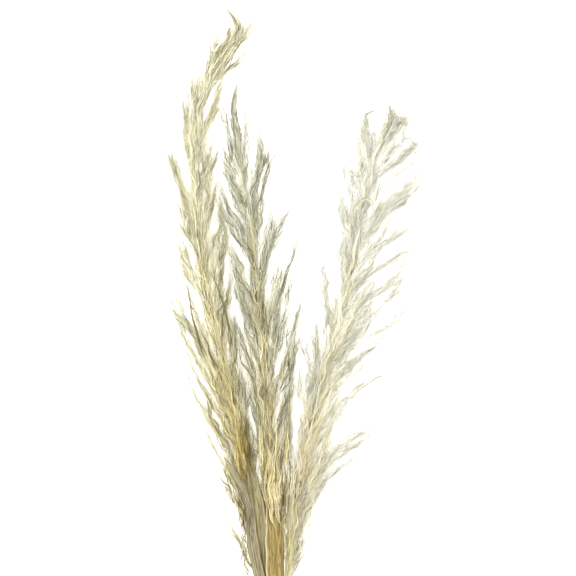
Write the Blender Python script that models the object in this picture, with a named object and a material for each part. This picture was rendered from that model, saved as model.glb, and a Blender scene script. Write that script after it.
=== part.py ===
# Dried plume grass: three cut stalks, each a straw culm with a feathery plume, tied with twine.
# The bunch lies on a surface, with its stalks along +Y, and +Z is up. The tables are in
# millimetres from the point on the surface right under the tie. MM turns them to metres, and
# the origin then moves to the surface under the middle of the bunch.

import math
import random

import bmesh
import bpy
from mathutils import Matrix, Quaternion, Vector

MM = 0.001
GOLDEN_ANGLE = math.radians(137.508)
SHARP_ANGLE = math.radians(40)

# What touches keeps this gap to its neighbour
SEAT_GAP = 0.3

# Culms
CULM_SIDES = 8
CULM_TIED_RADIUS = 3.5
CULM_TOP_RADIUS = 2.8
CULM_STEP = 24.0
CULM_TAPER = 0.05
JOINT_SWELL = 0.45
JOINT_LENGTH = 5.0
CLOSEST_RINGS = 2.5

# Plumes: the core is the stalk's own axis inside the plume
CORE_SIDES = 5
CORE_STEP = 50.0
CORE_END = 90.0
CORE_END_STEP = 15.0
CORE_TIP_RADIUS = 0.8

# Branches: those that grow by rule turn round the core by the golden angle, a little closer
# together at its sides, and are closer together towards the plume's tip. A short branch is slim.
SIDEWAYS_BIAS = 0.35
TIPWARDS = 0.85
LAST_ROOT = 0.94
BRANCH_JITTER = (0.3, 0.7)
FULLNESS = (0.78, 1.0)
BRANCH_STATIONS = (0.0, 0.36, 0.7)
SLIMMEST = 0.6
SLIM_UNDER = 80.0
PRESSED = 0.45

# Locks: the spindle-shaped tufts of hairs on a branch, placed along it from station 0.7 on
FIRST_LOCK = 0.7
LOCK_RANGE = 1.9
LOCK_JITTER = (0.1, 0.7)
SHORTEST_LOCK = 0.4
LOCK_WIDEST_AT = 0.45
LOCK_CURL = 0.7
LOCK_PAST_TIP = 6.0
LOWEST_LOCK = 0.4

# Room between a plume and its neighbours
BETWEEN_PLUMES = 1.0
UNDER_LEAF = 0.6
BESIDE_LEAF = 4.0
BEYOND_LEAF = 14.0

# Leaves
LEAF_THICKNESS = 0.8
LEAF_STEP = 12.0
LEAF_ARCH = 0.1

# Tie
TWINE_TURNS = 5
TWINE_THICKNESS = 2.2
TWINE_CREST = 0.6
TWINE_GROOVE = 0.55
TIE_CORNER_SIDES = 4

# Each stalk: its line from the cut end to the plume's tip, as (x, y, z), where the plume begins,
# how far the plume spreads to (left, right, up, down) of the line at each y, and the heights of
# the culm's joints. "branch" holds how many branches grow by rule, their length at the plume's
# foot and tip, and their radius. "lock" holds how many locks a branch has, the range of their
# length, their radius, and the range of degrees between a lock and its branch. The branches that
# stand out in the outline are (y of root, tip x, tip y, tip z, degrees that the tip leans right),
# and where the tip's z is 0 the branch lies on the surface.
STALKS = {
    "left": {
        "seed": 34,
        "line": [
            (-13, -232, 3.3), (-9, -150, 3.4), (-3.9, -30, 5.7), (-3.9, 0, 6.0), (-5, 30, 7.2),
            (-9, 62, 9.5), (-16, 100, 13), (-19, 140, 17), (-24, 176, 20), (-32, 226, 23),
            (-43, 276, 25), (-56, 326, 26), (-68, 376, 26), (-74, 426, 25), (-80, 476, 23),
            (-81, 526, 21), (-76, 566, 19), (-67, 596, 17), (-56, 617, 16), (-42, 634, 15),
            (-36, 646, 14), (-41, 658, 13), (-52, 671, 12),
        ],
        "plume_from": 62,
        "joints": (-170, -60),
        "spread": [
            (62, 4, 4, 4, 4), (100, 13, 8, 8, 8), (146, 20, 10, 11, 13), (176, 17, 11, 14, 17),
            (201, 24, 13, 15, 19), (251, 34, 14, 17, 22), (276, 37, 16, 19, 24),
            (326, 35, 21, 20, 25), (376, 33, 21, 20, 25), (401, 24, 30, 19, 24),
            (446, 16, 28, 18, 22), (476, 17, 19, 16, 20), (506, 21, 19, 15, 18),
            (526, 17, 14, 14, 16), (566, 13, 20, 12, 14), (596, 10, 15, 9, 11),
            (622, 10, 13, 8, 9), (641, 9, 10, 6, 7), (656, 5, 4, 4, 4), (671, 1, 1, 1, 1),
        ],
        "branch": {"count": 28, "length": (112, 32), "radius": 2.0},
        "lock": {"count": 3, "length": (26, 48), "radius": 2.6, "splay": (9, 20)},
        "outliers": [
            (176, -110, 391, 14, -18), (230, -97, 436, 20, -5), (420, -104, 524, 20, -5),
            (468, -86, 590, 18, 8), (490, -48, 590, 26, 20), (455, -61, 511, 24, 32),
            (570, -34, 616, 18, 50), (606, -27, 646, 16, 30), (590, -47, 646, 20, 0),
            (572, -58, 634, 14, 25), (380, -48, 466, 30, 18),
            (500, -74, 594, 14, 12), (110, -70, 248, 12, -22), (150, -88, 300, 16, -18),
            (180, -95, 345, 20, -12), (75, -42, 146, 11, -22), (370, -45, 442, 22, 12),
            (240, -37, 352, 30, 6), (240, -84, 380, 0, -6), (330, -62, 440, 0, 4),
            (180, -40, 296, 0, 0), (400, -92, 474, 24, 0), (395, -61, 480, 18, 12),
        ],
    },
    "centre": {
        "seed": 50,
        "line": [
            (2, -214, 3.3), (1, -140, 5.5), (0, -30, 12.2), (0, 0, 12.8), (-0.5, 30, 14.5),
            (-2, 66, 18), (-3, 100, 21.5), (-1, 140, 26), (-2, 176, 30), (-5, 226, 33),
            (-8, 276, 34), (-13, 326, 34), (-16, 376, 33), (-19, 426, 31), (-29, 476, 28),
            (-37, 526, 24), (-41, 556, 22), (-40, 581, 20), (-36, 600, 18),
        ],
        "plume_from": 66,
        "joints": (-150, -45),
        "spread": [
            (66, 4, 4, 4, 4), (100, 8, 8, 6, 8), (126, 9, 10, 7, 11), (176, 11, 15, 9, 18),
            (226, 14, 20, 11, 22), (276, 17, 27, 14, 26), (326, 22, 34, 15, 26),
            (376, 24, 30, 15, 24), (426, 26, 26, 15, 22), (446, 26, 24, 14, 20),
            (476, 24, 14, 13, 18), (506, 17, 26, 13, 16), (526, 16, 28, 12, 14),
            (536, 12, 16, 11, 12), (556, 7, 8, 8, 9), (600, 2, 2, 2, 2),
        ],
        "branch": {"count": 28, "length": (106, 34), "radius": 1.8},
        "lock": {"count": 3, "length": (28, 50), "radius": 2.3, "splay": (10, 22)},
        "outliers": [
            (490, -49, 560, 22, -8), (440, -16, 538, 28, -10), (430, -6, 522, 24, 0),
            (395, -54, 486, 26, -16), (420, -44, 502, 20, 10), (370, 14, 464, 28, 28),
            (330, 0, 452, 34, 12), (290, 23, 434, 26, 16), (230, 26, 371, 28, 12),
            (250, 14, 389, 36, 8), (270, -33, 371, 30, -8), (190, 33, 339, 22, 12),
            (465, -29, 552, 26, 5), (330, -42, 424, 34, -12), (300, -36, 400, 20, -10),
            (385, -47, 458, 30, -14),
        ],
    },
    "right": {
        "seed": 62,
        "line": [
            (14, -222, 3.3), (9.5, -150, 3.4), (3.9, -30, 5.7), (3.9, 0, 6.0), (5, 30, 7.2),
            (8.5, 62, 9.5), (12, 100, 13), (15, 140, 17), (22, 176, 20), (30, 226, 23),
            (42, 276, 25), (56, 326, 26), (69, 376, 26), (80, 426, 25), (89, 476, 24),
            (99, 516, 21), (108, 546, 18), (114, 571, 15),
        ],
        "plume_from": 62,
        "joints": (-185, -70),
        "spread": [
            (62, 4, 4, 4, 4), (100, 6, 9, 7, 8), (146, 9, 15, 10, 13), (176, 12, 19, 13, 17),
            (206, 14, 28, 14, 19), (236, 18, 40, 16, 21), (276, 24, 30, 17, 23),
            (311, 22, 32, 18, 24), (341, 16, 42, 18, 24), (371, 24, 46, 18, 24),
            (401, 24, 48, 18, 23), (431, 13, 36, 17, 22), (461, 16, 36, 17, 21),
            (491, 13, 46, 16, 19), (521, 17, 34, 14, 16), (546, 21, 22, 10, 12),
            (561, 20, 14, 7, 8), (571, 4, 5, 4, 4),
        ],
        "branch": {"count": 25, "length": (86, 30), "radius": 1.8},
        "lock": {"count": 3, "length": (20, 36), "radius": 2.5, "splay": (20, 36)},
        "outliers": [
            (485, 90, 566, 20, -4), (500, 124, 551, 22, 12), (470, 140, 530, 20, 42),
            (425, 142, 502, 24, 35), (405, 144, 490, 16, 42), (390, 132, 446, 26, 50),
            (360, 135, 427, 18, 55), (345, 133, 412, 24, 30), (310, 123, 389, 20, 28),
            (295, 132, 366, 14, 38), (270, 104, 332, 18, 48), (220, 112, 305, 16, 52),
            (175, 96, 250, 14, 50), (165, 88, 236, 20, 50), (135, 76, 216, 12, 48),
            (390, 68, 514, 26, -14), (350, 65, 474, 20, -8), (280, 48, 410, 26, -3),
            (235, 42, 349, 28, -2), (75, 28, 134, 10, 12), (100, 51, 198, 14, 25),
            (520, 116, 570, 16, 6), (510, 128, 556, 14, 30), (215, 33, 332, 30, -2),
            (150, 80, 246, 26, 38), (240, 78, 372, 0, 14), (330, 96, 442, 0, 12),
            (180, 48, 300, 0, 10), (430, 99, 498, 24, 20), (450, 84, 530, 16, -6),
        ],
    },
}

# Leaves lie along the tops of the plumes' feet: a line as (x, y, z), widths from foot to tip and
# how far the blade rolls about its line, in degrees, from foot to tip.
LEAVES = {
    "leaf_strap": {
        "line": [(-3.3, 44, 18.5), (-10, 72, 24), (-18, 100, 28.5), (-23, 130, 33),
                 (-29, 160, 37), (-37, 188, 40), (-45, 212, 41), (-49, 236, 39)],
        "widths": (6, 8, 9, 9, 9, 8.5, 6.5, 1.4),
        "roll": (-35, -18, -6, 0, 10, 24, 40, 50),
    },
    "leaf_sheath": {
        "line": [(-8.3, 44, 11.2), (-12, 72, 16.5), (-16, 100, 21.5), (-18, 130, 26.5),
                 (-21, 160, 31), (-24, 190, 34), (-28, 222, 36)],
        "widths": (7, 10, 12, 12, 12, 10, 1.4),
        "roll": (-30, -16, -6, 0, 0, 0, 0),
    },
    "leaf_ochre": {
        "line": [(7.5, 44, 11.5), (8.5, 72, 20), (4, 100, 28.5), (1, 130, 34),
                 (-1, 160, 38), (-4, 190, 40), (-6, 214, 40)],
        "widths": (7, 10, 18, 18, 14, 9, 1.4),
        "roll": (18, 14, 6, 0, 0, 0, 0),
    },
}


# Curves through the tables' points

def between(table, y, column):
    # Straight interpolation in a table whose first column is y
    if y <= table[0][0]:
        return table[0][column]
    for low, high in zip(table, table[1:]):
        if y <= high[0]:
            share = (y - low[0]) / (high[0] - low[0])
            return low[column] + share * (high[column] - low[column])
    return table[-1][column]


def slope_at(line, i, axis):
    before, after = line[max(i - 1, 0)], line[min(i + 1, len(line) - 1)]
    return (after[axis] - before[axis]) / (after[1] - before[1])


def on_line(line, y):
    # The point at height y on the smooth curve through a line's points
    y_inside = min(max(y, line[0][1]), line[-1][1])
    i = max(k for k in range(len(line) - 1) if line[k][1] <= y_inside)
    low, high = line[i], line[i + 1]
    span = high[1] - low[1]
    t = (y_inside - low[1]) / span
    place = [0.0, y, 0.0]
    for axis in (0, 2):
        start, end = slope_at(line, i, axis) * span, slope_at(line, i + 1, axis) * span
        place[axis] = (
            low[axis] * (2 * t**3 - 3 * t**2 + 1) + start * (t**3 - 2 * t**2 + t)
            + high[axis] * (3 * t**2 - 2 * t**3) + end * (t**3 - t**2)
        )
    return Vector(place)


def heights(start, end, step):
    count = max(2, round((end - start) / step) + 1)
    return [start + (end - start) * k / (count - 1) for k in range(count)]


def direction_on(line, y):
    return (on_line(line, y + 1) - on_line(line, y - 1)).normalized()


# Solids swept along a path of ring centres

def swept_mesh(name, rings, root=None, tip=None, hollow=False):
    # A closed mesh through rings of points, in millimetres, each end flat or drawn to a point. In
    # a hollow one the last ring meets the first. What would reach below the surface lies on it.
    bm = bmesh.new()
    loops = [
        [bm.verts.new(Vector((p.x, p.y, max(p.z, 0.0))) * MM) for p in ring] for ring in rings
    ]
    sides = len(loops[0])
    for lower, upper in zip(loops, loops[1:] + (loops[:1] if hollow else [])):
        for i in range(sides):
            j = (i + 1) % sides
            bm.faces.new((lower[i], lower[j], upper[j], upper[i]))
    for end, loop in () if hollow else ((root, loops[0]), (tip, loops[-1])):
        if end is None:
            bm.faces.new(loop)
            continue
        point = bm.verts.new(end * MM)
        for i in range(sides):
            bm.faces.new((loop[i], loop[(i + 1) % sides], point))
    bmesh.ops.recalc_face_normals(bm, faces=bm.faces)
    mesh = bpy.data.meshes.new(name)
    bm.to_mesh(mesh)
    bm.free()
    return mesh


def round_rings(centres, radii, sides, spin=0.0):
    # Rings square to the path, turned as little as possible from one to the next
    along = [
        (centres[min(i + 1, len(centres) - 1)] - centres[max(i - 1, 0)]).normalized()
        for i in range(len(centres))
    ]
    across = along[0].cross(Vector((0, 0, 1))).normalized()
    rings = []
    for centre, direction, radius in zip(centres, along, radii):
        across = (across - across.dot(direction) * direction).normalized()
        other = direction.cross(across)
        turns = [spin + 2 * math.pi * k / sides for k in range(sides)]
        rings.append(
            [centre + radius * (math.cos(a) * across + math.sin(a) * other) for a in turns]
        )
    return rings


def shade_round(mesh):
    mesh.shade_smooth()
    mesh.set_sharp_from_angle(angle=SHARP_ANGLE)
    return mesh


def solid_object(name, mesh, material):
    solid = bpy.data.objects.new(name, mesh)
    solid.data.materials.append(material)
    bpy.context.scene.collection.objects.link(solid)
    return solid


def plain_material(name, colour, roughness):
    material = bpy.data.materials.new(name)
    material.use_nodes = True
    shader = material.node_tree.nodes["Principled BSDF"]
    shader.inputs["Base Color"].default_value = (*colour, 1)
    shader.inputs["Roughness"].default_value = roughness
    shader.inputs["Metallic"].default_value = 0.0
    return material


# Culms

def culm_radius(stalk, y):
    cut_end, top = stalk["line"][0][1], stalk["plume_from"]
    if y < 0:
        radius = CULM_TIED_RADIUS
    else:
        radius = CULM_TIED_RADIUS + (CULM_TOP_RADIUS - CULM_TIED_RADIUS) * y / top
    swell = max(math.exp(-((y - joint) / JOINT_LENGTH) ** 2) for joint in stalk["joints"])
    taper = 1 - CULM_TAPER * (y - cut_end) / (top - cut_end)
    return radius * taper + JOINT_SWELL * swell


def make_culm(name, stalk, material):
    # A straw tube that runs from its cut end to the plume's foot. One side faces straight down.
    line, top = stalk["line"], stalk["plume_from"]
    levels = heights(line[0][1], top, CULM_STEP)
    for joint in stalk["joints"]:
        levels += [joint - JOINT_LENGTH, joint, joint + JOINT_LENGTH]
    levels = sorted(levels)
    levels = [y for y, above in zip(levels, levels[1:] + [math.inf]) if above - y > CLOSEST_RINGS]
    centres = [on_line(line, y) for y in levels]
    radii = [culm_radius(stalk, y) for y in levels]
    for centre, radius in zip(centres, radii):
        centre.z = max(centre.z, radius * math.cos(math.pi / CULM_SIDES))
    rings = round_rings(centres, radii, CULM_SIDES, spin=math.pi / CULM_SIDES)
    return solid_object(name, shade_round(swept_mesh(name, rings)), material)


# Plumes

def under_leaves(place, radius):
    # The greatest height for a point of a plume, below any leaf that lies over it
    ceiling = math.inf
    for leaf in LEAVES.values():
        line = leaf["line"]
        if not line[0][1] - BEYOND_LEAF < place.y < line[-1][1] + BEYOND_LEAF:
            continue
        over = on_line(line, place.y)
        width, roll = leaf_width(leaf, place.y), leaf_roll(leaf, place.y)
        if abs(place.x - over.x) < width / 2 + radius + BESIDE_LEAF:
            sag = width * (LEAF_ARCH + 0.5 * abs(math.sin(roll))) + LEAF_THICKNESS / 2
            ceiling = min(ceiling, over.z - sag - UNDER_LEAF - radius)
    return ceiling


def kept_in_own_space(point, radius, own):
    # Bends a point of one plume clear of the other stalks, the leaves and the surface
    place = point.copy()
    place.z = max(min(place.z, under_leaves(place, radius)), radius + LOWEST_LOCK)
    for other in STALKS.values():
        if other is own or place.y > other["line"][-1][1] + BETWEEN_PLUMES:
            continue
        mine, theirs = on_line(own["line"], place.y), on_line(other["line"], place.y)
        mine.y = theirs.y = place.y
        towards = (theirs - mine).normalized()
        reach = (place - (mine + theirs) / 2).dot(towards) + radius + BETWEEN_PLUMES / 2
        if reach > 0:
            place.x -= reach / towards.x
    return place


def curve_point(controls, t):
    a, b, c, d = controls
    u = 1 - t
    return u**3 * a + 3 * u * u * t * b + 3 * u * t * t * c + t**3 * d


def outlier_curve(stalk, root_y, tip, lean):
    # The four controls of a branch that leaves the core along it and ends at a given tip and lean
    root = on_line(stalk["line"], root_y)
    length = (tip - root).length
    arrives = Vector((math.sin(math.radians(lean)), math.cos(math.radians(lean)), 0))
    leaves = direction_on(stalk["line"], root_y)
    return [root, root + leaves * length * 0.4, tip - arrives * length * 0.35, tip]


def ruled_curve(stalk, share, turn, fullness):
    # A branch that leaves the core at a share of the plume's length, and ends at the plume's
    # outline in the direction given by turn: 0 is right, a quarter turn is up
    line = stalk["line"]
    foot, tip_y = stalk["plume_from"], line[-1][1]
    root_y = foot + share * (tip_y - foot)
    at_foot, at_tip = stalk["branch"]["length"]
    length = at_foot + share * (at_tip - at_foot)
    end_y = min(root_y + length, tip_y)
    sideways, upwards = math.cos(turn), math.sin(turn)
    wide = between(stalk["spread"], end_y, 2 if sideways > 0 else 1) * fullness
    high = between(stalk["spread"], end_y, 3 if upwards > 0 else 4) * fullness
    outwards = Vector((sideways * wide, 0, upwards * high))
    root, end = on_line(line, root_y), on_line(line, end_y)
    leaves = direction_on(line, root_y)
    return [
        root,
        root + leaves * length * 0.35 + outwards * 0.2,
        on_line(line, root_y + length * 0.66) + outwards * 0.8,
        end + outwards,
    ]


def branch_curves(stalk, draw):
    curves = [
        outlier_curve(stalk, root_y, Vector((x, y, z)), lean)
        for root_y, x, y, z, lean in stalk["outliers"]
    ]
    count = stalk["branch"]["count"]
    for k in range(count):
        share = ((k + draw.uniform(*BRANCH_JITTER)) / count) ** TIPWARDS * LAST_ROOT
        turn = k * GOLDEN_ANGLE - SIDEWAYS_BIAS * math.sin(2 * k * GOLDEN_ANGLE)
        curves.append(ruled_curve(stalk, share, turn, draw.uniform(*FULLNESS)))
    return curves


def lock_points(root, along, turn, length, splay):
    # The widest point and the tip of a lock that leaves its branch at a small angle
    across = along.cross(Vector((0, 0, 1))).normalized()
    outwards = Quaternion(along, turn) @ across
    points = []
    for reach, angle in ((LOCK_WIDEST_AT, splay), (1.0, splay * LOCK_CURL)):
        heading = along * math.cos(angle) + outwards * math.sin(angle)
        points.append(root + heading * length * reach)
    return points


def branch_meshes(stalk, curve, number, draw):
    # One branch and the locks on it, each a three-sided spindle drawn to a point at both ends
    slim = min(1.0, SLIMMEST + (1 - SLIMMEST) * (curve[3] - curve[0]).length / SLIM_UNDER)
    radius = stalk["branch"]["radius"] * slim
    centres = [curve_point(curve, t) for t in BRANCH_STATIONS]
    centres[1:] = [kept_in_own_space(centre, radius, stalk) for centre in centres[1:]]
    tip = kept_in_own_space(curve[3], 0.0, stalk)
    spin = draw.uniform(0, math.pi)
    rests = curve[3].z == 0
    if rests:
        # The branch lies on the surface with one flat side
        centres[-1].z, tip.z, spin = radius * PRESSED, 0.0, math.pi / 6
    path = centres + [tip]
    yield swept_mesh("branch", round_rings(path, [radius] * 4, 3, spin)[1:3], path[0], tip)
    if rests:
        return
    lock = stalk["lock"]
    shortest, longest = lock["length"]
    for k in range(lock["count"]):
        at = FIRST_LOCK + LOCK_RANGE * (k + draw.uniform(*LOCK_JITTER)) / lock["count"]
        i = int(at)
        root = path[i].lerp(path[i + 1], at - i)
        along = (path[i + 1] - path[i]).normalized()
        length = shortest + (longest - shortest) * slim * draw.uniform(SHORTEST_LOCK, 1.0)
        length = min(length, (tip - root).length + LOCK_PAST_TIP)
        splay = math.radians(draw.uniform(*lock["splay"]))
        middle, end = lock_points(root, along, (number + k) * GOLDEN_ANGLE, length, splay)
        middle = kept_in_own_space(middle, lock["radius"] * slim, stalk)
        end = kept_in_own_space(end, 0.0, stalk)
        rings = round_rings([root, middle, end], [lock["radius"] * slim] * 3, 3, spin + k)
        yield swept_mesh("lock", rings[1:2], root, end)


def keep_largest_shell(mesh):
    # Drops loose scraps, and the inner shells of any hollow that the joining seals
    bm = bmesh.new()
    bm.from_mesh(mesh)
    left, shells = set(bm.verts), []
    while left:
        shell, edge_of_shell = set(), [left.pop()]
        while edge_of_shell:
            vert = edge_of_shell.pop()
            shell.add(vert)
            near = {edge.other_vert(vert) for edge in vert.link_edges} & left
            left -= near
            edge_of_shell.extend(near)
        shells.append(shell)
    largest = max(shells, key=len)
    bmesh.ops.delete(bm, geom=[v for v in bm.verts if v not in largest], context="VERTS")
    bm.to_mesh(mesh)
    bm.free()


def union_of(name, body, pieces, material):
    # Joins the pieces to the body as one solid, applied, and removes them
    group = bpy.data.collections.new(name + "_pieces")
    bpy.context.scene.collection.children.link(group)
    for mesh in pieces:
        group.objects.link(bpy.data.objects.new(mesh.name, mesh))
    whole = solid_object(name, body, material)
    join = whole.modifiers.new("join", "BOOLEAN")
    join.operation = "UNION"
    join.operand_type = "COLLECTION"
    join.collection = group
    join.solver = "MANIFOLD"
    graph = bpy.context.evaluated_depsgraph_get()
    joined = bpy.data.meshes.new_from_object(whole.evaluated_get(graph))
    keep_largest_shell(joined)
    whole.modifiers.clear()
    whole.data = joined
    for piece in list(group.objects):
        bpy.data.objects.remove(piece)
    bpy.data.collections.remove(group)
    return whole


def make_plume(name, stalk, material):
    draw = random.Random(stalk["seed"])
    line = stalk["line"]
    foot, tip_y = stalk["plume_from"] + SEAT_GAP, line[-1][1]
    levels = heights(foot, tip_y - CORE_END, CORE_STEP)
    levels += heights(tip_y - CORE_END, tip_y, CORE_END_STEP)[1:]
    centres = [on_line(line, y) for y in levels]
    radii = [
        CULM_TOP_RADIUS + (CORE_TIP_RADIUS - CULM_TOP_RADIUS) * (y - foot) / (tip_y - foot)
        for y in levels
    ]
    core = swept_mesh(name, round_rings(centres, radii, CORE_SIDES, math.pi / CORE_SIDES))
    pieces = []
    for number, curve in enumerate(branch_curves(stalk, draw)):
        pieces.extend(branch_meshes(stalk, curve, number, draw))
    return union_of(name, core, pieces, material)


# Leaves

def leaf_width(leaf, y):
    return between([(p[1], w) for p, w in zip(leaf["line"], leaf["widths"])], y, 1)


def leaf_roll(leaf, y):
    return math.radians(between([(p[1], r) for p, r in zip(leaf["line"], leaf["roll"])], y, 1))


def leaf_section(centre, along, width, roll):
    # An arched strip, three points over and three under
    across = along.cross(Vector((0, 0, 1))).normalized()
    across = Quaternion(along, roll) @ across
    up = across.cross(along).normalized()
    edge, half = across * width / 2, up * LEAF_THICKNESS / 2
    sag = up * width * LEAF_ARCH
    crest = [centre + edge - sag, centre, centre - edge - sag]
    return [point + half for point in crest] + [point - half for point in reversed(crest)]


def make_leaf(name, leaf, material):
    line = leaf["line"]
    rings = []
    for y in heights(line[0][1], line[-1][1], LEAF_STEP):
        width, roll = leaf_width(leaf, y), leaf_roll(leaf, y)
        rings.append(leaf_section(on_line(line, y), direction_on(line, y), width, roll))
    return solid_object(name, swept_mesh(name, rings), material)


# Tie

def tie_ring(y, offset):
    # The outline at y of a band round the three culms, this far out from their surfaces
    corners = [on_line(STALKS[side]["line"], 0) for side in ("right", "centre", "left")]
    radius = CULM_TIED_RADIUS + offset
    outline = []
    for i, corner in enumerate(corners):
        before, after = corners[i - 1], corners[(i + 1) % 3]
        edge_in, edge_out = corner - before, after - corner
        start = math.atan2(-edge_in.x, edge_in.z)
        end = math.atan2(-edge_out.x, edge_out.z)
        while end < start:
            end += 2 * math.pi
        for k in range(TIE_CORNER_SIDES + 1):
            angle = start + (end - start) * k / TIE_CORNER_SIDES
            outwards = Vector((math.cos(angle), 0, math.sin(angle)))
            outline.append(corner + radius * outwards + Vector((0, y, 0)))
    return outline


def make_tie(name, material):
    # Turns of twine as rounded ridges, with flat crests, on one band with a bore for the culms
    crest, groove = SEAT_GAP + TWINE_THICKNESS, SEAT_GAP + TWINE_THICKNESS - TWINE_GROOVE
    half_band = TWINE_TURNS * TWINE_THICKNESS / 2
    rings = []
    for turn in range(TWINE_TURNS):
        middle = (turn + 0.5) * TWINE_THICKNESS - half_band
        rings.append(tie_ring(middle - TWINE_THICKNESS / 2, groove))
        rings.append(tie_ring(middle - TWINE_CREST, crest))
        rings.append(tie_ring(middle + TWINE_CREST, crest))
    rings.append(tie_ring(half_band, groove))
    rings.append(tie_ring(half_band, SEAT_GAP))
    rings.append(tie_ring(-half_band, SEAT_GAP))
    return solid_object(name, shade_round(swept_mesh(name, rings, hollow=True)), material)


def put_origin_under_middle(solids):
    # The origin goes to the surface under the middle of the whole bunch
    points = [vertex.co for solid in solids for vertex in solid.data.vertices]
    low = Vector([min(point[axis] for point in points) for axis in range(3)])
    high = Vector([max(point[axis] for point in points) for axis in range(3)])
    middle = Vector(((low.x + high.x) / 2, (low.y + high.y) / 2, low.z))
    for solid in solids:
        solid.data.transform(Matrix.Translation(-middle))


def main():
    for old in list(bpy.data.objects):
        bpy.data.objects.remove(old)
    straw = plain_material("straw", (0.60, 0.47, 0.24), 0.5)
    cream = plain_material("cream_plume", (0.80, 0.75, 0.55), 0.7)
    khaki = plain_material("khaki_plume", (0.66, 0.62, 0.43), 0.7)
    pale = plain_material("pale_plume", (0.84, 0.81, 0.68), 0.7)
    grey_leaf = plain_material("grey_leaf", (0.47, 0.45, 0.33), 0.6)
    olive_leaf = plain_material("olive_leaf", (0.42, 0.37, 0.21), 0.6)
    ochre_leaf = plain_material("ochre_leaf", (0.55, 0.41, 0.17), 0.55)
    jute = plain_material("jute", (0.45, 0.33, 0.19), 0.9)
    for side, colour in (("left", cream), ("centre", khaki), ("right", pale)):
        make_culm("culm_" + side, STALKS[side], straw)
        make_plume("plume_" + side, STALKS[side], colour)
    for name, colour in (
        ("leaf_strap", grey_leaf), ("leaf_sheath", olive_leaf), ("leaf_ochre", ochre_leaf)
    ):
        make_leaf(name, LEAVES[name], colour)
    make_tie("tie", jute)
    put_origin_under_middle(list(bpy.context.scene.collection.objects))


main()
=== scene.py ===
import math
import random

import bpy
import numpy as np
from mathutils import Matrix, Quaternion, Vector, noise


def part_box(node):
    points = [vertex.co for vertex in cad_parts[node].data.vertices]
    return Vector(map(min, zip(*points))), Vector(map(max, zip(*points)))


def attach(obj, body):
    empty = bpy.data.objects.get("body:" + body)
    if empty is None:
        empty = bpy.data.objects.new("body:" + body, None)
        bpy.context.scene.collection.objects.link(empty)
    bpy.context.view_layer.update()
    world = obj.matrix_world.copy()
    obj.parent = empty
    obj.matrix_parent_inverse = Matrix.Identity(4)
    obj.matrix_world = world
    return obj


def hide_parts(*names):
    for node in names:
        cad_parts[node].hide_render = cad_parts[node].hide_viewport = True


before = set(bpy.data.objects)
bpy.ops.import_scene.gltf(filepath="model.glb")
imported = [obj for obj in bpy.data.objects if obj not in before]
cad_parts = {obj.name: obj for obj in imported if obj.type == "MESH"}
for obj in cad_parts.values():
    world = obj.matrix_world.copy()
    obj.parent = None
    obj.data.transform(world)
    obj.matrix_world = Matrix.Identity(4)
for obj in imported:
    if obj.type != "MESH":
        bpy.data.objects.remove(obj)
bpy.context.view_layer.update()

# Dried plume grass: three tied stalks with feathery plumes, lying on a pale table.
# Tables are in millimetres from the point on the surface right under the tie, with the stalks
# along +y and +z up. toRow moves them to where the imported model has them.
mm = 0.001
goldenAngle = math.radians(137.508)
tieLow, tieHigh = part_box("tie")
tieSpot = Vector(((tieLow.x + tieHigh.x) / 2, (tieLow.y + tieHigh.y) / 2, 0))


def toRow(points):
    return np.asarray(points, float) * mm + np.array(tieSpot)


# Each stalk's line runs from its cut end to its plume's tip. spread says how far the plume
# reaches (left, right, up, down) of the line at each y. outliers are the branches that show in
# the outline: y of the root, x, y and z of the tip, and the degrees that the tip leans right.
leftStalk = {
    "seed": 34,
    "line": [
        (-13, -232, 3.3), (-9, -150, 3.4), (-3.9, -30, 5.7), (-3.9, 0, 6.0), (-5, 30, 7.2),
        (-9, 62, 9.5), (-16, 100, 13), (-19, 140, 17), (-24, 176, 20), (-32, 226, 23),
        (-43, 276, 25), (-56, 326, 26), (-68, 376, 26), (-74, 426, 25), (-80, 476, 23),
        (-81, 526, 21), (-76, 566, 19), (-67, 596, 17), (-56, 617, 16), (-42, 634, 15),
        (-36, 646, 14), (-41, 658, 13), (-52, 671, 12),
    ],
    "plumeFrom": 62,
    "joints": (-170, -60),
    "spread": [
        (62, 4, 4, 4, 4), (100, 13, 8, 8, 8), (146, 20, 10, 11, 13), (176, 17, 11, 14, 17),
        (201, 24, 13, 15, 19), (251, 34, 14, 17, 22), (276, 37, 16, 19, 24),
        (326, 35, 21, 20, 25), (376, 33, 21, 20, 25), (401, 24, 30, 19, 24),
        (446, 16, 28, 18, 22), (476, 17, 19, 16, 20), (506, 21, 19, 15, 18),
        (526, 17, 14, 14, 16), (566, 13, 20, 12, 14), (596, 10, 15, 9, 11),
        (622, 10, 13, 8, 9), (641, 9, 10, 6, 7), (656, 5, 4, 4, 4), (671, 1, 1, 1, 1),
    ],
    "branch": {"count": 28, "length": (112, 32), "radius": 2.0},
    "lock": {"count": 3, "length": (26, 48), "radius": 2.6, "splay": (9, 20)},
    "outliers": [
        (176, -110, 391, 14, -18), (230, -97, 436, 20, -5), (420, -104, 524, 20, -5),
        (468, -86, 590, 18, 8), (490, -48, 590, 26, 20), (455, -61, 511, 24, 32),
        (570, -34, 616, 18, 50), (606, -27, 646, 16, 30), (590, -47, 646, 20, 0),
        (572, -58, 634, 14, 25), (380, -48, 466, 30, 18),
        (500, -74, 594, 14, 12), (110, -70, 248, 12, -22), (150, -88, 300, 16, -18),
        (180, -95, 345, 20, -12), (75, -42, 146, 11, -22), (370, -45, 442, 22, 12),
        (240, -37, 352, 30, 6), (240, -84, 380, 0, -6), (330, -62, 440, 0, 4),
        (180, -40, 296, 0, 0), (400, -92, 474, 24, 0), (395, -61, 480, 18, 12),
    ],
}
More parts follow.
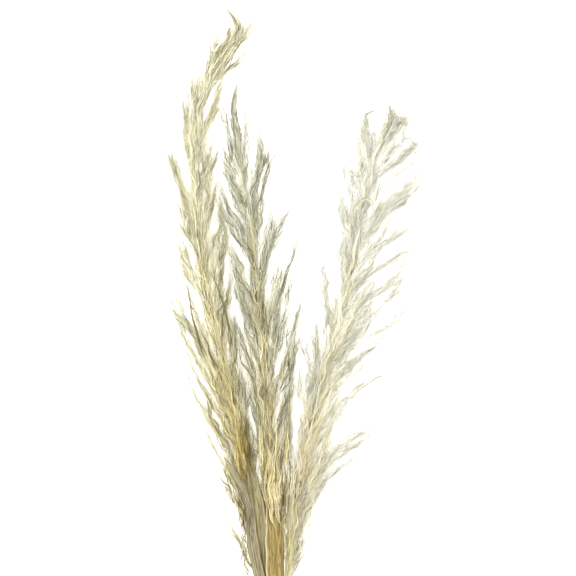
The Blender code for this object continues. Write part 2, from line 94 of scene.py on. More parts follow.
centreStalk = {
    "seed": 50,
    "line": [
        (2, -214, 3.3), (1, -140, 5.5), (0, -30, 12.2), (0, 0, 12.8), (-0.5, 30, 14.5),
        (-2, 66, 18), (-3, 100, 21.5), (-1, 140, 26), (-2, 176, 30), (-5, 226, 33),
        (-8, 276, 34), (-13, 326, 34), (-16, 376, 33), (-19, 426, 31), (-29, 476, 28),
        (-37, 526, 24), (-41, 556, 22), (-40, 581, 20), (-36, 600, 18),
    ],
    "plumeFrom": 66,
    "joints": (-150, -45),
    "spread": [
        (66, 4, 4, 4, 4), (100, 8, 8, 6, 8), (126, 9, 10, 7, 11), (176, 11, 15, 9, 18),
        (226, 14, 20, 11, 22), (276, 17, 27, 14, 26), (326, 22, 34, 15, 26),
        (376, 24, 30, 15, 24), (426, 26, 26, 15, 22), (446, 26, 24, 14, 20),
        (476, 24, 14, 13, 18), (506, 17, 26, 13, 16), (526, 16, 28, 12, 14),
        (536, 12, 16, 11, 12), (556, 7, 8, 8, 9), (600, 2, 2, 2, 2),
    ],
    "branch": {"count": 28, "length": (106, 34), "radius": 1.8},
    "lock": {"count": 3, "length": (28, 50), "radius": 2.3, "splay": (10, 22)},
    "outliers": [
        (490, -49, 560, 22, -8), (440, -16, 538, 28, -10), (430, -6, 522, 24, 0),
        (395, -54, 486, 26, -16), (420, -44, 502, 20, 10), (370, 14, 464, 28, 28),
        (330, 0, 452, 34, 12), (290, 23, 434, 26, 16), (230, 26, 371, 28, 12),
        (250, 14, 389, 36, 8), (270, -33, 371, 30, -8), (190, 33, 339, 22, 12),
        (465, -29, 552, 26, 5), (330, -42, 424, 34, -12), (300, -36, 400, 20, -10),
        (385, -47, 458, 30, -14),
    ],
}
rightStalk = {
    "seed": 62,
    "line": [
        (14, -222, 3.3), (9.5, -150, 3.4), (3.9, -30, 5.7), (3.9, 0, 6.0), (5, 30, 7.2),
        (8.5, 62, 9.5), (12, 100, 13), (15, 140, 17), (22, 176, 20), (30, 226, 23),
        (42, 276, 25), (56, 326, 26), (69, 376, 26), (80, 426, 25), (89, 476, 24),
        (99, 516, 21), (108, 546, 18), (114, 571, 15),
    ],
    "plumeFrom": 62,
    "joints": (-185, -70),
    "spread": [
        (62, 4, 4, 4, 4), (100, 6, 9, 7, 8), (146, 9, 15, 10, 13), (176, 12, 19, 13, 17),
        (206, 14, 28, 14, 19), (236, 18, 40, 16, 21), (276, 24, 30, 17, 23),
        (311, 22, 32, 18, 24), (341, 16, 42, 18, 24), (371, 24, 46, 18, 24),
        (401, 24, 48, 18, 23), (431, 13, 36, 17, 22), (461, 16, 36, 17, 21),
        (491, 13, 46, 16, 19), (521, 17, 34, 14, 16), (546, 21, 22, 10, 12),
        (561, 20, 14, 7, 8), (571, 4, 5, 4, 4),
    ],
    "branch": {"count": 25, "length": (86, 30), "radius": 1.8},
    "lock": {"count": 3, "length": (20, 36), "radius": 2.5, "splay": (20, 36)},
    "outliers": [
        (485, 90, 566, 20, -4), (500, 124, 551, 22, 12), (470, 140, 530, 20, 42),
        (425, 142, 502, 24, 35), (405, 144, 490, 16, 42), (390, 132, 446, 26, 50),
        (360, 135, 427, 18, 55), (345, 133, 412, 24, 30), (310, 123, 389, 20, 28),
        (295, 132, 366, 14, 38), (270, 104, 332, 18, 48), (220, 112, 305, 16, 52),
        (175, 96, 250, 14, 50), (165, 88, 236, 20, 50), (135, 76, 216, 12, 48),
        (390, 68, 514, 26, -14), (350, 65, 474, 20, -8), (280, 48, 410, 26, -3),
        (235, 42, 349, 28, -2), (75, 28, 134, 10, 12), (100, 51, 198, 14, 25),
        (520, 116, 570, 16, 6), (510, 128, 556, 14, 30), (215, 33, 332, 30, -2),
        (150, 80, 246, 26, 38), (240, 78, 372, 0, 14), (330, 96, 442, 0, 12),
        (180, 48, 300, 0, 10), (430, 99, 498, 24, 20), (450, 84, 530, 16, -6),
    ],
}
stalks = {"left": leftStalk, "centre": centreStalk, "right": rightStalk}

# The leaves' lines, widths and rolls from foot to tip
leaves = {
    "leaf_strap": {
        "line": [(-3.3, 44, 18.5), (-10, 72, 24), (-18, 100, 28.5), (-23, 130, 33),
                 (-29, 160, 37), (-37, 188, 40), (-45, 212, 41), (-49, 236, 39)],
        "widths": (6, 8, 9, 9, 9, 8.5, 6.5, 1.4),
        "roll": (-35, -18, -6, 0, 10, 24, 40, 50),
    },
    "leaf_sheath": {
        "line": [(-8.3, 44, 11.2), (-12, 72, 16.5), (-16, 100, 21.5), (-18, 130, 26.5),
                 (-21, 160, 31), (-24, 190, 34), (-28, 222, 36)],
        "widths": (7, 10, 12, 12, 12, 10, 1.4),
        "roll": (-30, -16, -6, 0, 0, 0, 0),
    },
    "leaf_ochre": {
        "line": [(7.5, 44, 11.5), (8.5, 72, 20), (4, 100, 28.5), (1, 130, 34),
                 (-1, 160, 38), (-4, 190, 40), (-6, 214, 40)],
        "widths": (7, 10, 18, 18, 14, 9, 1.4),
        "roll": (18, 14, 6, 0, 0, 0, 0),
    },
}


# Curves

def between(table, y, column):
    if y <= table[0][0]:
        return table[0][column]
    for low, high in zip(table, table[1:]):
        if y <= high[0]:
            share = (y - low[0]) / (high[0] - low[0])
            return low[column] + share * (high[column] - low[column])
    return table[-1][column]


def slopeAt(line, i, axis):
    before, after = line[max(i - 1, 0)], line[min(i + 1, len(line) - 1)]
    return (after[axis] - before[axis]) / (after[1] - before[1])


def onLine(line, y):
    inside = min(max(y, line[0][1]), line[-1][1])
    i = max(k for k in range(len(line) - 1) if line[k][1] <= inside)
    low, high = line[i], line[i + 1]
    span = high[1] - low[1]
    t = (inside - low[1]) / span
    place = [0.0, y, 0.0]
    for axis in (0, 2):
        start, end = slopeAt(line, i, axis) * span, slopeAt(line, i + 1, axis) * span
        place[axis] = (
            low[axis] * (2 * t**3 - 3 * t**2 + 1) + start * (t**3 - 2 * t**2 + t)
            + high[axis] * (3 * t**2 - 2 * t**3) + end * (t**3 - t**2)
        )
    return Vector(place)


def directionOn(line, y):
    return (onLine(line, y + 1) - onLine(line, y - 1)).normalized()


def leafWidth(leaf, y):
    return between([(p[1], w) for p, w in zip(leaf["line"], leaf["widths"])], y, 1)


def leafRoll(leaf, y):
    return math.radians(between([(p[1], r) for p, r in zip(leaf["line"], leaf["roll"])], y, 1))


def curvePoint(controls, t):
    a, b, c, d = controls
    u = 1 - t
    return u**3 * a + 3 * u * u * t * b + 3 * u * t * t * c + t**3 * d


# Branches and locks grow by the rule that the model's solids follow, with the same draws

clearance = {
    "betweenPlumes": 1.0,
    "underLeaf": 0.6,
    "besideLeaf": 4.0,
    "beyondLeaf": 14.0,
    "leafThickness": 0.8,
    "leafArch": 0.1,
    "lowest": 0.4,
}


def underLeaves(place, radius):
    ceiling = math.inf
    for leaf in leaves.values():
        line = leaf["line"]
        beyond = clearance["beyondLeaf"]
        if not line[0][1] - beyond < place.y < line[-1][1] + beyond:
            continue
        over = onLine(line, place.y)
        width, roll = leafWidth(leaf, place.y), leafRoll(leaf, place.y)
        if abs(place.x - over.x) < width / 2 + radius + clearance["besideLeaf"]:
            sag = width * (clearance["leafArch"] + 0.5 * abs(math.sin(roll)))
            sag += clearance["leafThickness"] / 2
            ceiling = min(ceiling, over.z - sag - clearance["underLeaf"] - radius)
    return ceiling


def keptInOwnSpace(point, radius, own):
    place = point.copy()
    place.z = max(min(place.z, underLeaves(place, radius)), radius + clearance["lowest"])
    for other in stalks.values():
        if other is own or place.y > other["line"][-1][1] + clearance["betweenPlumes"]:
            continue
        mine, theirs = onLine(own["line"], place.y), onLine(other["line"], place.y)
        mine.y = theirs.y = place.y
        towards = (theirs - mine).normalized()
        reach = (place - (mine + theirs) / 2).dot(towards)
        reach += radius + clearance["betweenPlumes"] / 2
        if reach > 0:
            place.x -= reach / towards.x
    return place


def pressedUnderLeaves(centres):
    # Hairs that would cross a leaf pass below it
    y = centres[..., 1]
    for leaf in leafLook.values():
        levels = np.linspace(leaf["line"][0][1], leaf["line"][-1][1], 60)
        over = np.array([onLine(leaf["line"], level) for level in levels])
        width = np.interp(y, levels, [alongLeaf(leaf, level, "widths") for level in levels])
        beside = np.abs(centres[..., 0] - np.interp(y, levels, over[:, 0])) - width / 2
        share = np.clip(1 - beside / clearance["besideLeaf"], 0, 1)
        share = share * (y > levels[0]) * (y < levels[-1])
        ceiling = np.interp(y, levels, over[:, 2]) - 0.2 * width - clearance["underLeaf"]
        centres[..., 2] -= np.maximum(centres[..., 2] - ceiling, 0) * share


def outlierCurve(stalk, rootY, tip, lean):
    root = onLine(stalk["line"], rootY)
    length = (tip - root).length
    arrives = Vector((math.sin(math.radians(lean)), math.cos(math.radians(lean)), 0))
    leaves = directionOn(stalk["line"], rootY)
    return [root, root + leaves * length * 0.4, tip - arrives * length * 0.35, tip]


def ruledCurve(stalk, share, turn, fullness):
    line = stalk["line"]
    foot, tipY = stalk["plumeFrom"], line[-1][1]
    rootY = foot + share * (tipY - foot)
    atFoot, atTip = stalk["branch"]["length"]
    length = atFoot + share * (atTip - atFoot)
    endY = min(rootY + length, tipY)
    sideways, upwards = math.cos(turn), math.sin(turn)
    wide = between(stalk["spread"], endY, 2 if sideways > 0 else 1) * fullness
    high = between(stalk["spread"], endY, 3 if upwards > 0 else 4) * fullness
    outwards = Vector((sideways * wide, 0, upwards * high))
    root, end = onLine(line, rootY), onLine(line, endY)
    leaves = directionOn(line, rootY)
    return [
        root,
        root + leaves * length * 0.35 + outwards * 0.2,
        onLine(line, rootY + length * 0.66) + outwards * 0.8,
        end + outwards,
    ]


def ruledCurves(stalk, count, draw, fullness, firstTurn=0.0):
    curves = []
    for k in range(count):
        share = ((k + draw.uniform(0.3, 0.7)) / count) ** 0.85 * 0.94
        turn = k * goldenAngle - 0.35 * math.sin(2 * k * goldenAngle) + firstTurn
        curves.append(ruledCurve(stalk, share, turn, draw.uniform(*fullness)))
    return curves


def smoothPath(stalk, curve, radius, rests, samples=13):
    # The branch's curve as a list of points, in the branch's own space
    path = []
    for k in range(samples):
        point = curvePoint(curve, k / (samples - 1))
        if k and not rests:
            point = keptInOwnSpace(point, radius * (1 - 0.8 * k / samples), stalk)
        elif rests:
            point.z = max(point.z, radius * 0.6)
        path.append(point)
    return np.array(path)


def lockPath(root, along, turn, length, splay, stalk, radius):
    across = along.cross(Vector((0, 0, 1))).normalized()
    outwards = Quaternion(along, turn) @ across
    points = [root]
    for reach, angle in ((0.45, splay), (1.0, splay * 0.5)):
        heading = along * math.cos(angle) + outwards * math.sin(angle)
        points.append(root + heading * length * reach)
    points[1] = keptInOwnSpace(points[1], radius, stalk)
    points[2] = keptInOwnSpace(points[2], 0.0, stalk)
    return np.array(points)


def growPlume(stalk):
    # The paths of the branches and of the locks on them
    draw = random.Random(stalk["seed"])
    curves = [
        outlierCurve(stalk, rootY, Vector((x, y, z)), lean)
        for rootY, x, y, z, lean in stalk["outliers"]
    ]
    curves += ruledCurves(stalk, stalk["branch"]["count"], draw, (0.78, 1.0))
    branches, locks = [], []
    for number, curve in enumerate(curves):
        slim = min(1.0, 0.6 + 0.4 * (curve[3] - curve[0]).length / 80)
        radius = stalk["branch"]["radius"] * slim
        stations = [curvePoint(curve, t) for t in (0.0, 0.36, 0.7)]
        stations[1:] = [keptInOwnSpace(point, radius, stalk) for point in stations[1:]]
        tip = keptInOwnSpace(curve[3], 0.0, stalk)
        draw.uniform(0, math.pi)  # the turn of the solid's own sides
        rests = curve[3].z == 0
        branches.append({
            "path": smoothPath(stalk, curve, radius, rests), "slim": slim, "rests": rests,
            "outer": number < len(stalk["outliers"]), "rootY": curve[0].y,
        })
        if rests:
            continue
        path = stations + [tip]
        lock = stalk["lock"]
        shortest, longest = lock["length"]
        for k in range(lock["count"]):
            at = 0.7 + 1.9 * (k + draw.uniform(0.1, 0.7)) / lock["count"]
            i = int(at)
            root = path[i].lerp(path[i + 1], at - i)
            along = (path[i + 1] - path[i]).normalized()
            length = shortest + (longest - shortest) * slim * draw.uniform(0.4, 1.0)
            length = min(length, (tip - root).length + 6)
            splay = math.radians(draw.uniform(*lock["splay"]))
            if number < len(stalk["outliers"]):
                splay *= 0.35  # the branches in the outline end in one point
            locks.append({
                "path": lockPath(root, along, (number + k) * goldenAngle, length, splay,
                                 stalk, lock["radius"] * slim),
                "slim": slim, "outer": number < len(stalk["outliers"]),
            })
    return branches, locks


# Strands: a broad hair is a thin three-sided spindle and a fine one a flat ribbon, and both are
# drawn to a point at each end

strandStations = {
    "long": np.array([0, 0.07, 0.2, 0.36, 0.52, 0.68, 0.84, 1]),
    "lock": np.array([0, 0.07, 0.17, 0.28, 0.4, 0.52, 0.64, 0.76, 0.88, 1]),
    "fine": np.array([0, 0.18, 0.45, 0.74, 1]),
}
spindle, ribbon = 3, 2   # sides
toneBands = 8       # the plume's foot to its tip, side by side in the strands' map
bandMargin = 0.07   # kept free at both sides of a band
strandOnMap = 0.0035


def unit(vectors):
    return vectors / np.maximum(np.linalg.norm(vectors, axis=-1, keepdims=True), 1e-9)


def tuft(path, count, look, stations, draw, upStalk=None):
    # Paths that leave a branch or lock and follow it: count, stations, (x, y, z), and their tones
    path = np.asarray(path, float)
    if len(path) == 3:  # a lock bends through its middle point
        t = np.linspace(0, 1, 9)[:, None]
        bend = 2 * path[1] - (path[0] + path[2]) / 2
        path = (1 - t) ** 2 * path[0] + 2 * t * (1 - t) * bend + t**2 * path[2]
    steps = np.linalg.norm(np.diff(path, axis=0), axis=1)
    length = steps.sum()
    along = np.concatenate([[0], np.cumsum(steps)]) / length
    tangent = unit(np.gradient(path, axis=0))
    side = unit(np.cross(tangent, [0, 0, 1]))
    up = np.cross(side, tangent)
    start = draw.uniform(0, 1, count) ** look.get("rootwards", 1.0) * look["lastStart"]
    narrow = 1 - look.get("narrowTip", 0.0) * start
    reach = draw.uniform(*look["length"], count) / length * narrow
    if look.get("reachTip"):
        reach = np.minimum(reach, (1.0 - start) * draw.uniform(0.7, 1.07, count))
    t = stations[None, :]
    s = start[:, None] + reach[:, None] * t

    def at(values):
        return np.stack([np.interp(s, along, values[:, axis]) for axis in range(3)], -1)

    centres = at(path) + np.maximum(s - 1, 0)[..., None] * length * tangent[-1]
    span = reach[:, None] * length
    if upStalk is not None:  # some leave the branch and run on along the stalk
        drift = draw.uniform(*look["drift"], count)[:, None] * t**1.3
        straight = centres[:, :1] + (span * t)[..., None] * upStalk
        centres = centres + drift[..., None] * (straight - centres)
    turn = draw.uniform(0, 2 * math.pi, count)
    if look.get("flat"):
        turn = np.where(draw.uniform(0, 1, count) < 0.5, 0, math.pi)
        turn = turn + draw.normal(0, look["flat"], count)
    out = np.cos(turn)[:, None, None] * at(side) + np.sin(turn)[:, None, None] * at(up)
    fill = np.sqrt(draw.uniform(look.get("leastFill", 0.03), 1, count))[:, None]
    swell = np.sin(math.pi * np.clip(s, 0.02, 0.995) ** 0.8) ** 0.7
    swell = swell * np.clip(1 - s, 0.01, 1) ** look.get("taper", 0.0)
    rise = 1 - (1 - t) ** 2
    spread = look["radius"] * fill * swell * rise
    splay = np.tan(np.radians(draw.uniform(*look["splay"], count) * narrow))[:, None]
    spread = spread + splay * span * (t - look.get("curlIn", 0.3) * t**2)
    spread = spread * (1 - look.get("close", 0.0) * t**2.5)
    centres = centres + out * spread[..., None]
    # the whole tuft waves a little together, and each path by its own measure
    wave, period = look["wave"]
    both = draw.uniform(0, 2 * math.pi, 2)
    own = draw.uniform(0, 2 * math.pi, (3, count, 1))
    pace = draw.uniform(0.8, 1.35, (count, 1))
    phase = 2 * math.pi * s * length / period
    apart = 1 - look.get("close", 0.0) * t**2.5
    sway = 0.65 * np.sin(1.6 * pace * phase + own[0]) + 0.4 * np.sin(0.6 * pace * phase + own[2])
    sway = 1.0 * np.sin(phase + both[0]) + sway * apart
    lift = 0.6 * np.sin(1.3 * phase + both[1])
    lift = lift + 0.5 * np.sin(1.9 * pace * phase + own[1]) * apart
    ramp = wave * draw.uniform(0.5, 1.2, (count, 1)) * np.minimum(1, s * length / 15)
    centres = centres + (ramp * sway)[..., None] * at(side) + (ramp * lift)[..., None] * at(up)
    tone = draw.normal(look.get("tone", 0.6), look.get("toneSpread", 0.16), count)
    # painted light from above: hairs on a tuft's upper side are painted lighter and those below it
    # darker
    tone = tone + draw.normal(0, look.get("tuftTone", 0.08)) + 0.08 * np.sin(turn)
    # painted shade: a tuft's outer hairs are painted darker, most at its two sides, where a round tuft
    # falls into shade
    rim = fill[:, 0] ** 2 * (0.35 + 0.65 * np.abs(np.cos(turn)))
    tone = tone - look.get("rimDark", 0.0) * (rim - 0.35)
    # a share of the hairs, picked at random, is darker; another share is painted near white as sparkle
    # highlights
    chance = draw.uniform(0, 1, count)
    tone = np.where(chance < look.get("darkShare", 0.2), tone - 0.45, tone)
    return centres, np.where(chance > 1 - look.get("brightShare", 0.1), tone + 0.35, tone)


guideStations = np.linspace(0, 1, 17)


def clump(guides, tones, look, stations, draw, fineness=1.0):
    # The hairs of each slim lock lie round its guide and meet in a point
    perGuide = look["hairs"]
    count = len(guides) * perGuide
    thick = np.arange(count) % perGuide == 0  # each lock has one broad hair in its middle
    guides, tones = np.repeat(guides, perGuide, 0), np.repeat(tones, perGuide)
    heading = unit(np.gradient(guides, axis=1))
    side = unit(np.cross(heading, [0.0, 0.0, 1.0]))
    up = np.cross(side, heading)
    low = draw.uniform(0, look["latestRoot"], count) * ~thick
    high = np.where(thick, 0.96, draw.uniform(look["earliestTip"], 1, count))
    s = low[:, None] + (high - low)[:, None] * stations
    place = s * (guides.shape[1] - 1)
    step = np.minimum(place.astype(int), guides.shape[1] - 2)
    part = (place - step)[..., None]
    row = np.arange(count)[:, None]

    def at(values):
        return values[row, step] * (1 - part) + values[row, step + 1] * part

    turn = draw.uniform(0, 2 * math.pi, count)
    fill = np.where(thick, 0.0, np.sqrt(draw.uniform(0.15, 1, count)))
    twist = draw.uniform(-1, 1, count)[:, None] * 1.2 * s
    angle = turn[:, None] + twist
    size = draw.uniform(*look["clumpRadius"], count // perGuide).repeat(perGuide) * fineness
    lens = np.sin(math.pi * np.clip(s, 0.01, 0.99) ** 0.75) ** 0.85
    spread = (size * fill)[:, None] * lens
    centres = at(guides) + (np.cos(angle) * spread)[..., None] * at(side)
    centres = centres + (np.sin(angle) * spread * 0.8)[..., None] * at(up)
    # painted light and shade: a lock is painted bright along its middle and on its upper side, and
    # darker at its sides and below
    edge = fill * np.abs(np.cos(turn))
    tone = tones + draw.normal(0, look["toneNoise"], count) + 0.08 - look["edgeDark"] * edge
    radius = np.where(thick, size * look["thick"],
                      draw.uniform(*look["hair"], count) * (0.3 + 0.7 * fineness))
    return centres, radius, tone + 0.05 * np.sin(turn)


def strandMesh(name, batches, draw):
    # batches: (centres, radii, tones, plume shares, stations, sides); one mesh with its map
    places, corners, starts, sizes, spots = [], [], [], [], []
    first = 0
    for centres, radius, tone, share, stations, sides in batches:
        count, points = centres.shape[:2]
        rings = points - 2
        centres = centres.copy()
        centres[..., 2] = np.maximum(centres[..., 2], 0.35)
        heading = unit(centres[:, 2:] - centres[:, :-2])
        side = unit(np.cross(heading, [0.0, 0.0, 1.0]))
        up = np.cross(side, heading)
        swell = np.sin(math.pi * stations[1:-1] ** 0.7) ** 0.6
        size = radius[:, None] * swell
        spin = draw.uniform(0, 2 * math.pi, count)[:, None]
        ringSet = []
        for k in range(sides):
            angle = spin + k * 2 * math.pi / sides
            offset = np.cos(angle)[..., None] * side + np.sin(angle)[..., None] * up
            ringSet.append(centres[:, 1:-1] + size[..., None] * offset)
        around = np.stack(ringSet, 2).reshape(count, rings * sides, 3)
        verts = np.concatenate([centres[:, :1], around, centres[:, -1:]], 1)
        verts[..., 2] = np.maximum(verts[..., 2], 0.1)
        perStrand = rings * sides + 2
        places.append(verts.reshape(-1, 3))
        # where each strand reads its colour: its plume's band, its tone in it, and its length
        band = np.clip((share * toneBands).astype(int), 0, toneBands - 1)
        inBand = np.clip(tone, 0.02, 0.98) * (1 - 2 * bandMargin) + bandMargin
        column = (band + inBand) / toneBands
        u = np.tile(column[:, None], (1, perStrand))
        u[:, 1:-1] += np.tile(np.linspace(-0.5, 0.5, sides) * strandOnMap, rings)
        v = np.concatenate([[stations[0]], np.repeat(stations[1:-1], sides), [stations[-1]]])
        v = np.tile(0.01 + 0.98 * v, (count, 1))
        spots.append(np.stack([u, v], -1).reshape(-1, 2))
        pairs = [(k, (k + 1) % sides) for k in range(sides if sides > ribbon else 1)]
        one = [(0, 1 + b, 1 + a) for a, b in pairs]
        last = 1 + (rings - 1) * sides
        for low in range(1, last, sides):
            high = low + sides
            one += [(low + a, low + b, high + b, high + a) for a, b in pairs]
        one += [(last + a, last + b, last + sides) for a, b in pairs]
        flat = np.array([corner for face in one for corner in face])
        lengths = np.array([len(face) for face in one])
        base = first + np.arange(count)[:, None] * perStrand
        corners.append((base + flat[None, :]).reshape(-1))
        sizes.append(np.tile(lengths, count))
        first += count * perStrand
    places, corners, sizes = map(np.concatenate, (places, corners, sizes))
    spots = np.concatenate(spots)
    mesh = bpy.data.meshes.new(name)
    mesh.vertices.add(len(places))
    mesh.vertices.foreach_set("co", toRow(places).astype(np.float32).ravel())
    mesh.loops.add(len(corners))
    mesh.loops.foreach_set("vertex_index", corners.astype(np.int32))
    mesh.polygons.add(len(sizes))
    starts = np.concatenate([[0], np.cumsum(sizes)[:-1]])
    mesh.polygons.foreach_set("loop_start", starts.astype(np.int32))
    mesh.polygons.foreach_set("loop_total", sizes.astype(np.int32))
    mesh.update(calc_edges=True)
    mesh.validate()
    mesh.shade_smooth()
    mapLayer = mesh.uv_layers.new(name="OFBake")
    mapLayer.data.foreach_set("uv", spots[corners].astype(np.float32).ravel())
    return mesh


def pieceObject(name, mesh, material, slotName, *nodes):
    piece = bpy.data.objects.new(name, mesh)
    bpy.context.scene.collection.objects.link(piece)
    piece.data.materials.append(material)
    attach(piece, "root")
    if nodes:
        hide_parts(*nodes)
    return piece


# Shader node groups

def newGroup(name, inputs, outputs):
    group = bpy.data.node_groups.new(name, "ShaderNodeTree")
    for label, kind, value in inputs:
        socket = group.interface.new_socket(label, in_out="INPUT", socket_type=kind)
        if value is not None:
            socket.default_value = value
    for label, kind in outputs:
        group.interface.new_socket(label, in_out="OUTPUT", socket_type=kind)
    return group, group.nodes.new("NodeGroupInput"), group.nodes.new("NodeGroupOutput")


def addNode(tree, kind, settings=None, **inputs):
    node = tree.nodes.new(kind)
    for key, value in (settings or {}).items():
        setattr(node, key, value)
    for key, value in inputs.items():
        socket = node.inputs[int(key[1:])] if key[0] == "n" and key[1:].isdigit() else None
        socket = socket or node.inputs[key.replace("_", " ")]
        if isinstance(value, bpy.types.NodeSocket):
            tree.links.new(value, socket)
        else:
            socket.default_value = value
    return node


def maths(tree, operation, first, second=0.0, clamp=False):
    return addNode(tree, "ShaderNodeMath", {"operation": operation, "use_clamp": clamp},
                   n0=first, n1=second).outputs[0]


def mixColour(tree, share, first, second, blend="MIX"):
    node = addNode(tree, "ShaderNodeMix", {"data_type": "RGBA", "blend_type": blend})
    for socket, value in ((node.inputs[0], share), (node.inputs[6], first),
                          (node.inputs[7], second)):
        if isinstance(value, bpy.types.NodeSocket):
            tree.links.new(value, socket)
        else:
            socket.default_value = value if isinstance(value, float) else (*value, 1)
    return node.outputs[2]


def makeFibreStreaks():
    # Long thin streaks: the place is stretched before the noise reads it
    group, given, out = newGroup(
        "fibreStreaks",
        [("Vector", "NodeSocketVector", None), ("Across", "NodeSocketFloat", 40.0),
         ("Along", "NodeSocketFloat", 2.0), ("Sharpness", "NodeSocketFloat", 1.5)],
        [("Streak", "NodeSocketFloat")],
    )
    stretch = addNode(group, "ShaderNodeCombineXYZ", X=given.outputs["Across"],
                      Y=given.outputs["Along"], Z=given.outputs["Along"])
    place = addNode(group, "ShaderNodeVectorMath", {"operation": "MULTIPLY"},
                    n0=given.outputs["Vector"], n1=stretch.outputs[0])
    pattern = addNode(group, "ShaderNodeTexNoise", {"noise_dimensions": "3D"},
                      Vector=place.outputs[0], Scale=1.0, Detail=2.0, Roughness=0.55)
    centred = maths(group, "SUBTRACT", pattern.outputs["Fac"], 0.5)
    sharper = maths(group, "MULTIPLY", centred, given.outputs["Sharpness"])
    streak = maths(group, "ADD", sharper, 0.5, clamp=True)
    group.links.new(streak, out.inputs["Streak"])
    return group


def makeDryColour():
    # Dark, middle and light of one dry fibre, picked by tone and shifted a little by the streaks
    group, given, out = newGroup(
        "dryColour",
        [("Dark", "NodeSocketColor", None), ("Middle", "NodeSocketColor", None),
         ("Light", "NodeSocketColor", None), ("Tone", "NodeSocketFloat", 0.5),
         ("Streak", "NodeSocketFloat", 0.5), ("Streak Depth", "NodeSocketFloat", 0.25)],
        [("Color", "NodeSocketColor"), ("Tone", "NodeSocketFloat")],
    )
    shift = maths(group, "MULTIPLY", maths(group, "SUBTRACT", given.outputs["Streak"], 0.5),
                  given.outputs["Streak Depth"])
    tone = maths(group, "ADD", given.outputs["Tone"], shift, clamp=True)
    lower = maths(group, "MULTIPLY", tone, 2.0, clamp=True)
    upper = maths(group, "SUBTRACT", maths(group, "MULTIPLY", tone, 2.0), 1.0, clamp=True)
    darkHalf = mixColour(group, lower, given.outputs["Dark"], given.outputs["Middle"])
    whole = mixColour(group, upper, darkHalf, given.outputs["Light"])
    group.links.new(whole, out.inputs["Color"])
    group.links.new(tone, out.inputs["Tone"])
    return group


def makeAgePatches():
    # Soft blotches where the dry leaf or straw has aged
    group, given, out = newGroup(
        "agePatches",
        [("Vector", "NodeSocketVector", None), ("Scale", "NodeSocketFloat", 3.0),
         ("Low", "NodeSocketFloat", 0.45), ("High", "NodeSocketFloat", 0.7)],
        [("Patch", "NodeSocketFloat")],
    )
    pattern = addNode(group, "ShaderNodeTexNoise", Vector=given.outputs["Vector"],
                      Scale=given.outputs["Scale"], Detail=3.0, Roughness=0.6)
    patch = addNode(group, "ShaderNodeMapRange", {"interpolation_type": "SMOOTHSTEP"},
                    Value=pattern.outputs["Fac"])
    group.links.new(given.outputs["Low"], patch.inputs["From Min"])
    group.links.new(given.outputs["High"], patch.inputs["From Max"])
    group.links.new(patch.outputs[0], out.inputs["Patch"])
    return group


fibreStreaks, dryColour, agePatches = makeFibreStreaks(), makeDryColour(), makeAgePatches()


def useGroup(tree, group, **inputs):
    node = tree.nodes.new("ShaderNodeGroup")
    node.node_tree = group
    for key, value in inputs.items():
        socket = node.inputs[key.replace("_", " ")]
        if isinstance(value, bpy.types.NodeSocket):
            tree.links.new(value, socket)
        elif isinstance(value, tuple):
            socket.default_value = (*value, 1)
        else:
            socket.default_value = value
    return node


def ramp(tree, factor, stops):
    node = addNode(tree, "ShaderNodeValToRGB")
    tree.links.new(factor, node.inputs[0])
    elements = node.color_ramp.elements
    elements[0].position, elements[0].color = stops[0][0], (*stops[0][1], 1)
    elements[1].position, elements[1].color = stops[-1][0], (*stops[-1][1], 1)
    for position, colour in stops[1:-1]:
        elements.new(position).color = (*colour, 1)
    return node.outputs[0]


def plainMaterial(name, roughness):
    material = bpy.data.materials.new(name)
    material.use_nodes = True
    tree = material.node_tree
    shader = tree.nodes["Principled BSDF"]
    shader.inputs["Roughness"].default_value = roughness
    place = addNode(tree, "ShaderNodeUVMap", {"uv_map": "OFBake"}).outputs[0]
    return material, tree, shader, place


# Plumes. shades gives dark, middle and light of the hairs at shares of the plume's length

leftSilk = {
    "material": "creamPlume",
    "slot": "cream_plume",
    "shades": [
        (0.0, (0.18, 0.125, 0.03), (0.60, 0.46, 0.145), (0.96, 0.86, 0.47)),
        (0.25, (0.165, 0.15, 0.065), (0.68, 0.60, 0.28), (0.94, 0.89, 0.59)),
        (0.45, (0.33, 0.31, 0.18), (0.78, 0.74, 0.52), (0.95, 0.925, 0.76)),
        (0.87, (0.40, 0.38, 0.235), (0.81, 0.78, 0.57), (0.95, 0.93, 0.79)),
        (1.0, (0.20, 0.155, 0.055), (0.52, 0.43, 0.20), (0.86, 0.80, 0.50)),
    ],
    "tipColour": (0.20, 0.18, 0.10),
    "tipShare": 1.0,
}
centreSilk = {
    "material": "khakiPlume",
    "slot": "khaki_plume",
    "shades": [
        (0.0, (0.36, 0.275, 0.10), (0.88, 0.745, 0.365), (1.0, 0.95, 0.68)),
        (0.3, (0.17, 0.135, 0.04), (0.76, 0.68, 0.31), (0.98, 0.94, 0.65)),
        (0.5, (0.14, 0.12, 0.045), (0.645, 0.60, 0.35), (0.93, 0.91, 0.69)),
        (1.0, (0.22, 0.21, 0.13), (0.65, 0.63, 0.46), (0.92, 0.91, 0.76)),
    ],
    "tipColour": (0.12, 0.11, 0.06),
    "tipShare": 1.1,
}
rightSilk = {
    "material": "palePlume",
    "slot": "pale_plume",
    "shades": [
        (0.0, (0.64, 0.54, 0.29), (1.0, 0.955, 0.73), (1.0, 0.985, 0.85)),
        (0.25, (0.36, 0.31, 0.13), (0.94, 0.885, 0.57), (0.99, 0.96, 0.73)),
        (0.5, (0.36, 0.34, 0.215), (0.85, 0.83, 0.655), (0.97, 0.96, 0.82)),
        (1.0, (0.36, 0.355, 0.25), (0.84, 0.83, 0.70), (0.97, 0.965, 0.85)),
    ],
    "tipColour": (0.34, 0.32, 0.21),
    "tipShare": 0.9,
}


